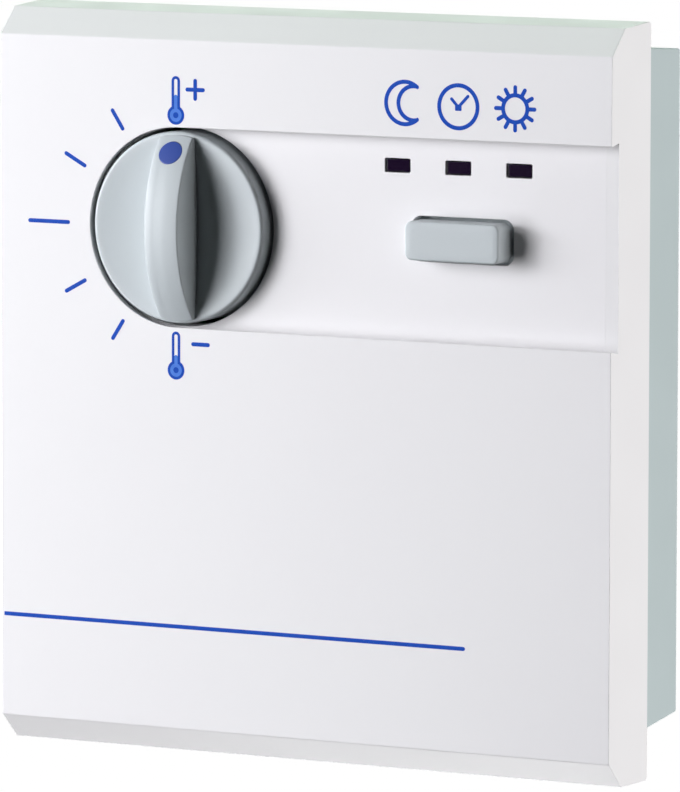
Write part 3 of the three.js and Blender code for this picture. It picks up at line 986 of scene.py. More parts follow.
@dataclass(frozen=True)
class BoardLaminate(Finish):
    """Glass-epoxy board under green solder mask: copper tracks show as lighter, raised lines."""

    track_mm: float = 1.27
    coat: float = 0.4

    def pigment(self, tree: Tree, coords: Socket) -> Socket:
        """The mask's green, lighter over the copper."""
        return self.tinted(tree, self._tracks(tree, coords))

    def relief(self, tree: Tree, coords: Socket) -> Socket:
        """The copper's edge as bump."""
        return self.raised(tree, self._tracks(tree, coords))

    def _tracks(self, tree: Tree, coords: Socket) -> Socket:
        """A mask of tracks on a grid, with bends and gaps where a coarse cell pattern changes.

        Args:
            tree: The material's tree.
            coords: Where the pattern is read.

        Returns:
            The mask.
        """
        pitch = self.track_mm * MM
        grid = {"distance": "CHEBYCHEV", "Scale": 1 / (pitch * 7), "Randomness": 0.6}
        cells = add_node(tree, "ShaderNodeTexVoronoi", grid, {"Vector": coords}).outputs["Color"]
        axes = add_node(tree, "ShaderNodeSeparateXYZ", {}, {0: coords}).outputs
        red = add_node(tree, "ShaderNodeSeparateColor", {}, {0: cells}).outputs[0]
        pick = reckoned(tree, "Math", "GREATER_THAN", {0: red, 1: 0.5})
        sides = {0: pick, 2: axes["X"], 3: axes["Z"]}
        along = add_node(tree, "ShaderNodeMix", {"data_type": "FLOAT"}, sides).outputs[0]
        stripe = reckoned(tree, "Math", "PINGPONG", {0: along, 1: pitch})
        span = {"From Min": pitch * 0.42, "From Max": pitch * 0.5}
        return add_node(tree, "ShaderNodeMapRange", span, {"Value": stripe}).outputs[0]


@dataclass(frozen=True)
class ClearResin(Finish):
    """Clear epoxy under a glossy skin, which lets most light through."""

    transmission: float = 0.75

    def end(self, tree: Tree, colour: Socket, roughness: Socket, normal: Socket) -> Node:
        """Ends the tree in a shader that lets light through.

        Args:
            tree: The material's tree.
            colour: The colour.
            roughness: The roughness.
            normal: The bumped normal.

        Returns:
            The shader.
        """
        shader = super().end(tree, colour, roughness, normal)
        shader.inputs["Transmission Weight"].default_value = self.transmission
        return shader


COVER_ABS = Finish("abs_cover_white", "#efefef", "#ecebec", Slot.COVER_WHITE)
PANEL_ABS = Finish("abs_panel_white", "#f1f0f1", "#eeedee", Slot.COVER_WHITE)
BASE_ABS = Finish(
    "abs_base_grey", "#bac6c7", "#b5c2c2", Slot.BASE_GREY, roughness=0.5, texture_height_mm=0.006
)
KNOB_ABS = Finish(
    "abs_knob_grey", "#c5cdd0", "#c1c9cb", Slot.KNOB_GREY, roughness=0.5, texture_height_mm=0.002
)
BLUE_INK = Ink("ink_blue", "#0b47b6", "#1450be", Slot.POINTER_BLUE, roughness=0.5, ior=1.2, texture_mm=0.8)
PALE_INK = Ink(
    "ink_blue_pale", "#4a7edb", "#5388e0", Slot.POINTER_BLUE, roughness=0.5, ior=1.2, texture_mm=0.8
)
BLUE_INSERT = Finish("abs_pointer_blue", "#3f58aa", "#3a52a2", Slot.POINTER_BLUE, roughness=0.35)
SMOKED_ACRYLIC = Finish(
    "acrylic_smoked", "#1c0a28", "#16081f", Slot.SMOKED_LENS, roughness=0.12, roughness_spread=0.04,
    ior=1.49, texture_height_mm=0.0005,
)
BLACK_PLASTIC = Finish("nylon_black", "#232427", "#1b1c1f", Slot.BLACK_PLASTIC, roughness=0.5)
CHIP_EPOXY = Finish("epoxy_chip_black", "#1d1e20", "#27282a", Slot.BLACK_PLASTIC, roughness=0.6)
TERMINAL_NYLON = Finish("nylon_terminal_green", "#3f8457", "#387a50", Slot.TERMINAL_GREEN)
BRASS = Metal("brass_turned", "#d0aa58", "#b8924a", Slot.BRASS)
ZINC = Metal("steel_zinc_plated", "#c3c6ca", "#aeb2b8", Slot.STEEL)
TINNED = Metal("copper_tinned", "#c9cbcc", "#b4b8ba", Slot.STEEL, roughness=0.22)
SLEEVE = Finish("sleeve_can_blue", "#222a48", "#2a3354", Slot.CAN_SLEEVE, roughness=0.25)
FILM_BOX = Finish("epoxy_film_yellow", "#c79a34", "#b98a2b", Slot.FILM_YELLOW, roughness=0.3)
BEAD_EPOXY = Finish("epoxy_bead_brown", "#7a4320", "#6a3819", Slot.SENSOR_RESIN, roughness=0.2)
RESISTOR_LACQUER = Finish(
    "lacquer_resistor_beige", "#d1b98c", "#c7ad7e", Slot.RESISTOR_BEIGE, roughness=0.3
)
SLEEVE_PRINT = Ink("ink_sleeve_grey", "#b9bcc4", "#a9acb6", Slot.CAN_SLEEVE, roughness=0.4, texture_mm=0.8)
BAND_BROWN = Finish("lacquer_band_brown", "#5a3320", "#4d2a1a", Slot.RESISTOR_BEIGE, roughness=0.3)
BAND_ORANGE = Finish("lacquer_band_orange", "#c8641e", "#b85a1a", Slot.RESISTOR_BEIGE, roughness=0.3)
BOARD_INK = Ink("ink_board_white", "#e4e6e2", "#d2d6d0", Slot.COVER_WHITE, roughness=0.6, texture_mm=0.6)
LED_RESIN = ClearResin("epoxy_led_clear", "#e6ece0", "#dde6d6", Slot.CLEAR_RESIN, roughness=0.08)
MASK_GREEN = BoardLaminate(
    "laminate_board_green", "#1f5a36", "#3d8a54", Slot.BOARD_GREEN, roughness=0.35, texture_height_mm=0.03
)


def dressed(
    piece: Thing,
    finish: Finish,
    body: Body,
    replaces: Sequence[str] = (),
    angle: float | None = 32.0,
) -> Thing:
    """Gives a finished piece its shading, material and body.

    Args:
        piece: The piece.
        finish: Its finish.
        body: The body that it rides on.
        replaces: The CAD nodes that it stands for.
        angle: The angle of the edges that stay crisp, or None where its shading is set.

    Returns:
        The piece.
    """
    if angle is not None:
        smoothed(piece, angle)
    piece.data.materials.clear()
    piece.data.materials.append(finish.material())
    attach(piece, body.value)
    if replaces:
        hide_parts(*replaces)
    log.info("%s rides on %s, %d faces", piece.name, body.value, len(piece.data.polygons))
    return piece


def base_row(
    name: str,
    unit: Thing,
    finish: Finish,
    count: int,
    start: Vector,
    step: Vector,
    nodes: Sequence[str] = (),
) -> None:
    """Sets copies out in a row and dresses them as one piece of the base.

    Args:
        name: The piece's name.
        unit: The mesh that is repeated, shaded, which is used up.
        finish: The piece's finish.
        count: How many copies.
        start: The first copy's place.
        step: From one copy to the next.
        nodes: The CAD nodes that the row stands for.
    """
    dressed(Pattern(name, unit, finish).along(count, start, step), finish, Body.BASE, nodes, angle=None)


def refinished(node: str, finish: Finish) -> None:
    """Gives a CAD node that shows as it is a better material.

    Args:
        node: The node's name.
        finish: Its finish.
    """
    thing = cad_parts[node]
    thing.data.materials.clear()
    thing.data.materials.append(finish.material())
    log.info("%s keeps its CAD shape", node)


# ---- The case ----


@dataclass
class ControlOpening:
    """The opening that the cover leaves for the controls: round about the dial, open at the right."""

    dial_x: float
    dial_z: float
    radius: float
    past: float = 60.0

    def outline(self, grow: float = 0.0) -> list[Flat]:
        """The outline, moved outwards by a little where an edge is rounded.

        Args:
            grow: How far it moves outwards.

        Returns:
            The outline in (x, z), anticlockwise.
        """
        radius = self.radius + grow
        left = arc(self.dial_x, self.dial_z, radius, 90, 270, 72)
        return [*left, (self.past, self.dial_z - radius), (self.past, self.dial_z + radius)]


@dataclass
class CoverShell:
    """The front cover: flat sides, chamfered along its top and bottom edges."""

    place: Box
    opening: ControlOpening
    wall: float = 1.8
    chamfer_height: float = 3.5
    chamfer_depth: float = 3.8
    side_edge: float = 0.1
    ridge: float = 0.35
    rear_round: float = 0.6
    top_draft: float = 0.5
    bottom_draft: float = 0.2
    opening_edge: float = 0.12
    undercut: float = 0.35
    recess: float = 2.1
    vent_count: int = 10
    vent_pitch: float = 4.5
    vent_width: float = 2.0
    vent_corner: float = 0.9
    vent_length: float = 4.4
    rib_width: float = 2.5
    side_ribs: tuple[float, ...] = (-34.0, -8.0)
    end_ribs: tuple[float, ...] = (-25.0, 25.0)

    def corners(self, back: float) -> list[Flat]:
        """The side profile's corners in (depth, z), anticlockwise, from a back depth.

        Args:
            back: The back depth.

        Returns:
            The corners.
        """
        box = self.place
        front, deep = box.front, box.front - self.chamfer_depth
        low, high = box.bottom, box.top
        return [
            (back, low - self.bottom_draft),
            (deep, low),
            (front, low + self.chamfer_height),
            (front, high - self.chamfer_height),
            (deep, high),
            (back, high + self.top_draft),
        ]

    def outside(self) -> Thing:
        """The solid outer shape, its long edges rounded.

        Returns:
            The solid.
        """
        radii = [self.rear_round, *[self.ridge] * 4, self.rear_round]
        corners = self.corners(self.place.back)
        edge = quarter_round(self.side_edge)
        rings = []
        for advance, inset in edge:
            rings.append(sideways(filleted(corners, radii, inset), self.place.left + advance))
        for advance, inset in reversed(edge):
            rings.append(sideways(filleted(corners, radii, inset), self.place.right - advance))
        return lofted("cover_shell", rings)

    def hollow(self) -> Thing:
        """What is cut out of the inside.

        Returns:
            The cutter.
        """
        corners = self.corners(self.place.back - 2 * self.wall)
        outline = filleted(corners, self.ridge + self.wall, self.wall)
        left, right = self.place.left + self.wall, self.place.right - self.wall
        return lofted("hollow", [sideways(outline, left), sideways(outline, right)])

    def mouth(self) -> Thing:
        """What is cut out for the controls, flared so that the edge comes out rounded.

        Returns:
            The cutter.
        """
        front = self.place.front
        rings = [upright(self.opening.outline(self.undercut), front - self.recess)]
        for advance, inset in reversed(quarter_round(self.opening_edge)):
            rings.append(upright(self.opening.outline(inset), front - advance))
        rings.append(upright(self.opening.outline(self.opening_edge), front + 1))
        return lofted("mouth", rings)

    def vents(self) -> Thing:
        """The row of slots through the bottom wall.

        Returns:
            The row as one cutter.
        """
        middle = (self.place.back + self.place.front - self.chamfer_depth) / 2
        size = filleted(rectangle(0, 0, self.vent_width, self.vent_length), self.vent_corner)
        reach = 3 * self.wall
        rings = [[Vector((x, y, z)) for x, y in size] for z in (-reach, reach)]
        unit = lofted("vent", rings)
        start = Vector((-(self.vent_count - 1) / 2 * self.vent_pitch, -middle, self.place.bottom))
        return Pattern("vents", unit, COVER_ABS).along(self.vent_count, start, across(self.vent_pitch))

    def ribs(self, base: Box) -> list[Thing]:
        """The small ribs inside that locate the cover on the base's rim.

        Args:
            base: The wall base's box.

        Returns:
            The ribs, to be joined to the shell.
        """
        clearance, lead_in = 0.3, 0.4
        half, inside = self.rib_width / 2, self.wall / 2
        outlines = []
        for z in self.side_ribs:
            for side, wall in ((base.left, self.place.left), (base.right, self.place.right)):
                sign = math.copysign(1, wall)
                near, far = sorted((side + sign * clearance, wall - sign * inside))
                outlines.append(between(near, far, z - half, z + half))
        for x in self.end_ribs:
            for end, wall in ((base.bottom, self.place.bottom), (base.top, self.place.top)):
                sign = math.copysign(1, wall)
                low, high = sorted((end + sign * clearance, wall - sign * inside))
                outlines.append(between(x - half, x + half, low, high))
        return [plate("rib", outline, self.place.back + lead_in, base.front) for outline in outlines]

    def build(self, base: Box) -> None:
        """Makes the cover.

        Args:
            base: The wall base's box.
        """
        shell = worked(self.outside(), Cut.AWAY, self.hollow())
        worked(shell, Cut.JOIN, *self.ribs(base))
        worked(shell, Cut.AWAY, self.mouth(), self.vents())
        dressed(shell, COVER_ABS, Body.COVER, ["front_cover"], angle=24)


@dataclass
class WallBase:
    """The grey box on the wall, drafted towards the wall and open to the front."""

    place: Box
    cover_back: float
    board: Box
    screws: list[Box]
    draft: float = 1.3
    wall: float = 2.0
    floor: float = 2.5
    corner: float = 0.3
    edge: float = 0.3
    rim_edge: float = 0.3
    boss_radius: float = 3.0
    pilot_radius: float = 1.55
    slot_width: float = 4.0
    slot_length: float = 9.0
    slot_spacing: float = 60.0
    slot_drop: float = 7.0
    cable_width: float = 26.0
    cable_height: float = 14.0

    def corners(self, depth: float) -> list[Flat]:
        """The outline's corners at a depth.

        Args:
            depth: The depth.

        Returns:
            The corners in (x, z), anticlockwise.
        """
        box, drawn_in = self.place, self.draft * (self.place.front - depth) / self.cover_back
        return between(box.left + drawn_in, box.right - drawn_in, box.bottom + drawn_in, box.top - drawn_in)

    def ring(self, depth: float, inset: float) -> list[Vector]:
        """A ring of the wall at a depth, moved in."""
        return upright(filleted(self.corners(depth), self.corner, inset), depth)

    def build(self) -> None:
        """Makes the base."""
        front, rim = self.place.front, quarter_round(self.rim_edge)
        rings = [self.ring(advance, inset) for advance, inset in quarter_round(self.edge)]
        rings += [self.ring(front - advance, inset) for advance, inset in reversed(rim)]
        rings += [self.ring(front - advance, self.wall - inset) for advance, inset in rim]
        rings.append(self.ring(self.floor, self.wall))
        tray = lofted("wall_tray", rings)
        gap, edge, seat, pilot_depth = 0.3, 0.3, self.board.back, 8
        radius, floor, top = self.boss_radius, self.floor, self.board.back - gap
        boss = [(radius + 0.6, floor - 0.5), (radius + 0.4, floor + 0.8), (radius, floor + 2),
                (radius, top - edge), (radius - edge, top)]
        pilot = [(self.pilot_radius, seat - pilot_depth), (self.pilot_radius, seat + 1)]
        bosses = [turned("boss", boss, screw.x, screw.z, 40) for screw in self.screws]
        pilots = [turned("pilot", pilot, screw.x, screw.z, 32) for screw in self.screws]
        worked(tray, Cut.JOIN, *bosses)
        row, side, slot_corner = self.board.bottom - self.slot_drop, self.slot_spacing / 2, 1.95
        cable_z = (self.board.bottom + self.place.bottom + self.wall + self.draft) / 2
        cutters = [
            plate("cutter", filleted(corners, corner, 0.0), -2, 4)
            for corners, corner in (
                (rectangle(0, cable_z, self.cable_width, self.cable_height), 3.0),
                (rectangle(-side, row, self.slot_width, self.slot_length), slot_corner),
                (rectangle(side, row, self.slot_length, self.slot_width), slot_corner),
            )
        ]
        worked(tray, Cut.AWAY, *pilots, *cutters)
        dressed(tray, BASE_ABS, Body.BASE, ["wall_base"])


@dataclass
class PanelFace:
    """The white face of the control module, with its rim, collar and posts."""

    place: Box
    opening: ControlOpening
    windows: list[Box]
    button: Box
    board: Box
    thickness: float = 1.6
    rim: float = 1.4
    skirt_end: float = 22.3
    corner: float = 1.5
    edge: float = 0.12
    collar_wall: float = 1.4
    collar_length: float = 3.0
    window_width: float = 3.8
    window_height: float = 1.9
    button_gap: Flat = (0.55, 0.42)
    button_lip: Flat = (1.8, 1.55)
    button_corner: float = 1.35
    post_radius: float = 1.8
    post_inset: float = 2.8
    post_drop: float = 4.5
    reach: float = 0.293  # how far it runs on to meet the cover's side wall, unseen behind the notch

    def build(self) -> None:
        """Makes the panel."""
        box = self.place
        front, back = box.front, box.front - self.thickness
        corners = [(box.left, box.bottom), (box.right + self.reach, box.bottom),
                   (box.right + self.reach, box.top), (box.left, box.top)]
        rings = [upright(filleted(corners, self.corner), self.skirt_end)]
        for advance, inset in reversed(quarter_round(0.015)):
            rings.append(upright(filleted(corners, self.corner, inset), front - advance))
        face = lofted("panel_face", rings)
        pocket = plate("pocket", filleted(corners, self.corner, self.rim), self.skirt_end - 1, back)
        worked(face, Cut.AWAY, pocket)
        x, z, radius = self.opening.dial_x, self.opening.dial_z, self.opening.radius
        outer = radius + self.collar_wall
        collar = turned("collar", [(outer, back - self.collar_length), (outer, back + 0.5)], x, z)
        posts = self.posts(back)
        worked(face, Cut.JOIN, collar, *posts)
        worked(face, Cut.AWAY, *self.holes(front, back))
        dressed(face, PANEL_ABS, Body.BASE, ["control_panel"], angle=24)

    def posts(self, back: float) -> list[Thing]:
        """The four posts that stand on the board.

        Args:
            back: The depth of the plate's back.

        Returns:
            The posts, to be joined to the panel.
        """
        foot = self.board.front + 0.3
        made = []
        for x in (self.place.left + self.post_inset, self.board.right - self.post_inset):
            for z in (self.place.top - self.post_drop, self.place.bottom + self.post_drop):
                profile = [(0.85, self.board.back - 0.3), (1.0, self.board.back), (1.0, foot),
                           (self.post_radius, foot), (self.post_radius + 0.15, back - 1.0),
                           (self.post_radius + 0.6, back + 0.4)]
                made.append(turned("post", profile, x, z, 32))
        return made

    def holes(self, front: float, back: float) -> list[Thing]:
        """The openings for the dial, the button and the lenses, each with a soft front edge.

        Args:
            front: The depth of the plate's front.
            back: The depth of its back.

        Returns:
            The cutters.
        """
        x, z, radius = self.opening.dial_x, self.opening.dial_z, self.opening.radius
        edge = reversed(quarter_round(self.edge))
        profile = [(radius, back - self.collar_length - 1), (radius, front - self.edge)]
        profile += [(radius + inset, front - advance) for advance, inset in edge][1:]
        profile.append((radius + self.edge, front + 1))
        made = [turned("dial_hole", profile, x, z, 144)]
        button, (lip_x, lip_z), (gap_x, gap_z) = self.button, self.button_lip, self.button_gap
        width, height = button.width - 2 * lip_x + 2 * gap_x, button.height - 2 * lip_z + 2 * gap_z
        corners = rectangle(button.x, button.z, width, height)
        made.append(self.flared("button_hole", corners, self.button_corner, back, front))
        for window in self.windows:
            corners = rectangle(window.x, window.z, self.window_width, self.window_height)
            made.append(self.flared("window_hole", corners, 0.2, back, front, 0.08))
        return made

    def flared(self, name: str, corners: list[Flat], radius: float, back: float, front: float,
               edge: float | None = None) -> Thing:
        """A cutter that leaves a rounded front edge.

        Args:
            name: The cutter's name.
            corners: The hole's corners in (x, z).
            radius: The fillet of its corners.
            back: The depth of the plate's back.
            front: The depth of its front.
            edge: The round that it leaves, or None for the panel's own.

        Returns:
            The cutter.
        """
        edge = self.edge if edge is None else edge
        rings = [upright(filleted(corners, radius), back - 1)]
        for advance, inset in reversed(quarter_round(edge)):
            rings.append(upright(filleted(corners, radius, -inset), front - advance))
        rings.append(upright(filleted(corners, radius, -edge), front + 1))
        return lofted(name, rings)


# ---- Controls ----


@dataclass
class SetpointKnob:
    """The dial: a round skirt with a dished face, a domed grip bar and a pointer dot."""

    place: Box
    front: float
    shaft: Box
    rim_edge: float = 0.45
    skirt_wall: float = 1.5
    top_wall: float = 1.8
    dish: float = 0.7
    dish_radius: float = 12.3
    hub_radius: float = 5.2
    bore_radius: float = 3.05
    hub_end: float = 23.6
    grip_half: float = 2.68
    grip_draft: float = 0.1
    left_shoulder: Flat = (1.6, 0.36)
    right_shoulder: float = 0.22
    crown: float = 0.1
    dot_radius: float = 1.7
    dot_gap: float = 0.05
    dot_from_centre: float = 10.25

    @property
    def radius(self) -> float:
        """The skirt's radius."""
        return self.place.width / 2

    @property
    def crest_radius(self) -> float:
        """The radius of the grip's crest, seen from the side."""
        rise = self.place.front - self.front
        return (self.radius**2 + rise**2) / (2 * rise)

    @property
    def crest_centre(self) -> float:
        """The depth of the crest's centre."""
        return self.place.front - self.crest_radius

    def cap(self) -> Thing:
        """The skirt, face and hub.

        Returns:
            The solid.
        """
        front, foot, radius = self.front, self.place.back, self.radius
        steps = 24
        profile = [(0.0, front - self.dish)]
        for i in range(1, steps + 1):
            share = i / steps
            profile.append((self.dish_radius * share, front - self.dish * (1 - share**2)))
        for advance, inset in quarter_round(self.rim_edge, 7):
            profile.append((radius - inset, front - advance))
        end = self.shaft.front + 0.3
        profile += [
            (radius, foot),
            (radius - self.skirt_wall, foot),
            (radius - self.skirt_wall, front - self.top_wall),
            (self.hub_radius, front - self.top_wall),
            (self.hub_radius, self.hub_end),
            (self.bore_radius, self.hub_end),
            (self.bore_radius, end),
            (0.0, end),
        ]
        return turned("dial_knob", profile, self.place.x, self.place.z, 144)

    def section(self, z: float) -> list[Vector]:
        """The grip bar's cross-section at a height, from its left foot over its crest.

        Args:
            z: The height.

        Returns:
            The section's points.
        """
        x0, zc = self.place.x, self.place.z
        crest = self.crest_centre + math.sqrt(self.crest_radius**2 - (z - zc) ** 2)
        foot = self.front - self.top_wall + 0.05
        half, low = self.grip_half - self.grip_draft, crest - self.crown
        (run, fall), right = self.left_shoulder, self.right_shoulder
        points = [(-self.grip_half, foot)]
        shoulder = arc(0.0, 0.0, 1.0, 180, 90, 16)
        points += [(-half + run * (1 + x), low - fall * (1 - y)) for x, y in shoulder]
        points += [(x, crest - self.crown * (x / half) ** 2) for x in (0.0, 0.8, 1.6)]
        points += arc(half - right, low - right, right, 90, 0, 5)
        points.append((self.grip_half, foot))
        return [Vector((x0 + x, -depth, z)) for x, depth in points]

    def grip(self) -> Thing:
        """The domed bar, trimmed to the skirt's rounded rim.

        Returns:
            The solid.
        """
        steps, reach = 64, self.radius + 0.1
        heights = [self.place.z + reach * (2 * i / steps - 1) for i in range(steps + 1)]
        bar = lofted("bar", [self.section(z) for z in heights])
        hair = 0.02
        radius = self.radius - hair
        profile = [(0.0, self.front - 5), (radius, self.front - 5)]
        profile += rolled(radius, self.front, self.rim_edge, 7)
        profile += [(radius - self.rim_edge, self.front + 9), (0.0, self.front + 9)]
        trim = turned("trim", profile, self.place.x, self.place.z, 144)
        return worked(bar, Cut.KEEP, trim)

    def tilted(self, thing: Thing) -> Thing:
        """Turns a solid that stands on the crest's centre line up to the pointer dot's place.

        Args:
            thing: The solid.

        Returns:
            The same object.
        """
        centre = Vector((self.place.x, -self.crest_centre, self.place.z)) * MM
        angle = math.asin(self.dot_from_centre / self.crest_radius)
        turn = Matrix.Translation(centre) @ Matrix.Rotation(-angle, 4, "X") @ Matrix.Translation(-centre)
        thing.data.transform(turn)
        return thing

    def build(self) -> None:
        """Makes the knob and its pointer dot."""
        knob = worked(self.cap(), Cut.JOIN, self.grip())
        x, z, crest = self.place.x, self.place.z, self.place.front
        sunk = 0.8
        hole = self.dot_radius + self.dot_gap
        pocket = turned("pocket", [(hole, crest - sunk), (hole, crest + 1)], x, z, 64)
        worked(knob, Cut.AWAY, self.tilted(pocket))
        dressed(knob, KNOB_ABS, Body.KNOB, ["setpoint_knob"], angle=28)
        edge = 0.08
        profile = [(0.0, crest - sunk + 0.1), (self.dot_radius, crest - sunk + 0.1)]
        face = crest - self.crown * 0.3
        profile += [*rolled(self.dot_radius, face, edge), (0.0, face + 0.02)]
        dot = self.tilted(turned("pointer_mark", profile, x, z, 64))
        dressed(dot, BLUE_INSERT, Body.KNOB, ["pointer_dot"])


@dataclass
class ModeButton:
    """The grey push button: a soft-edged cap on a flange with a stem."""

    place: Box
    panel_back: float
    lip: Flat = (1.8, 1.55)
    corner: float = 1.0
    edge: float = 0.3
    crown: float = 0.06
    crown_run: float = 0.7
    flange_thickness: float = 1.0
    stem_radius: float = 1.6
    panel_thickness: float = 1.6
    waist: float = 0.45
    waist_sunk: float = 0.1

    def build(self) -> None:
        """Makes the button."""
        box = self.place
        width, height = box.width - 2 * self.lip[0], box.height - 2 * self.lip[1]
        corners = rectangle(box.x, box.z, width, height)
        seat = self.panel_back - 0.3
        shoulder = box.front - self.crown
        waist = self.panel_back + self.panel_thickness - self.waist_sunk
        narrow = filleted(corners, self.corner, self.waist, 8)
        rings = [upright(narrow, seat - 0.5), upright(narrow, waist - 0.05),
                 upright(filleted(corners, self.corner, 0, 8), waist)]
        for advance, inset in reversed(quarter_round(self.edge, 7)):
            rings.append(upright(filleted(corners, self.corner, inset, 8), shoulder - advance))
        for share in (0.35, 0.7, 1.0):
            inset = self.edge + self.crown_run * share
            rise = self.crown * (1 - (1 - share) ** 2)
            outline = filleted(corners, self.corner + self.crown_run, inset, 8)
            rings.append(upright(outline, shoulder + rise))
        cap = lofted("push_button", rings)
        flange_corners = rectangle(box.x, box.z, box.width, box.height)
        flange = soft_plate("flange", flange_corners, 1.2, seat - self.flange_thickness, seat, 0.15, 0.15)
        stem = turned("stem", [(self.stem_radius - 0.2, box.back), (self.stem_radius, box.back + 0.2),
                               (self.stem_radius, seat - 0.8)], box.x, box.z, 40)
        worked(cap, Cut.JOIN, flange, stem)
        dressed(cap, KNOB_ABS, Body.BUTTON, ["mode_button"], angle=40)


@dataclass
class IndicatorLenses:
    """The three smoked lenses, set out in a row behind their windows."""

    places: list[Box]
    width: float = 3.5
    height: float = 1.6
    flange: float = 0.8
    edge: float = 0.12

    def build(self) -> None:
        """Makes the lenses as one row."""
        first = self.places[0]
        depth = first.front - first.back
        pane = rectangle(0, 0, self.width, self.height)
        lens = soft_plate("lens", pane, 0.15, self.flange / 2, depth, self.edge)
        lip = soft_plate("lip", rectangle(0, 0, first.width, first.height), 0.3, 0, self.flange, 0.1)
        unit = worked(lens, Cut.JOIN, lip)
        smoothed(unit)
        start = Vector((first.x, -first.back, first.z))
        nodes = ["led_window_left", "led_window_middle", "led_window_right"]
        step = across(self.places[1].x - first.x)
        base_row("indicator_lenses", unit, SMOKED_ACRYLIC, len(self.places), start, step, nodes)


# ---- Printed marks ----


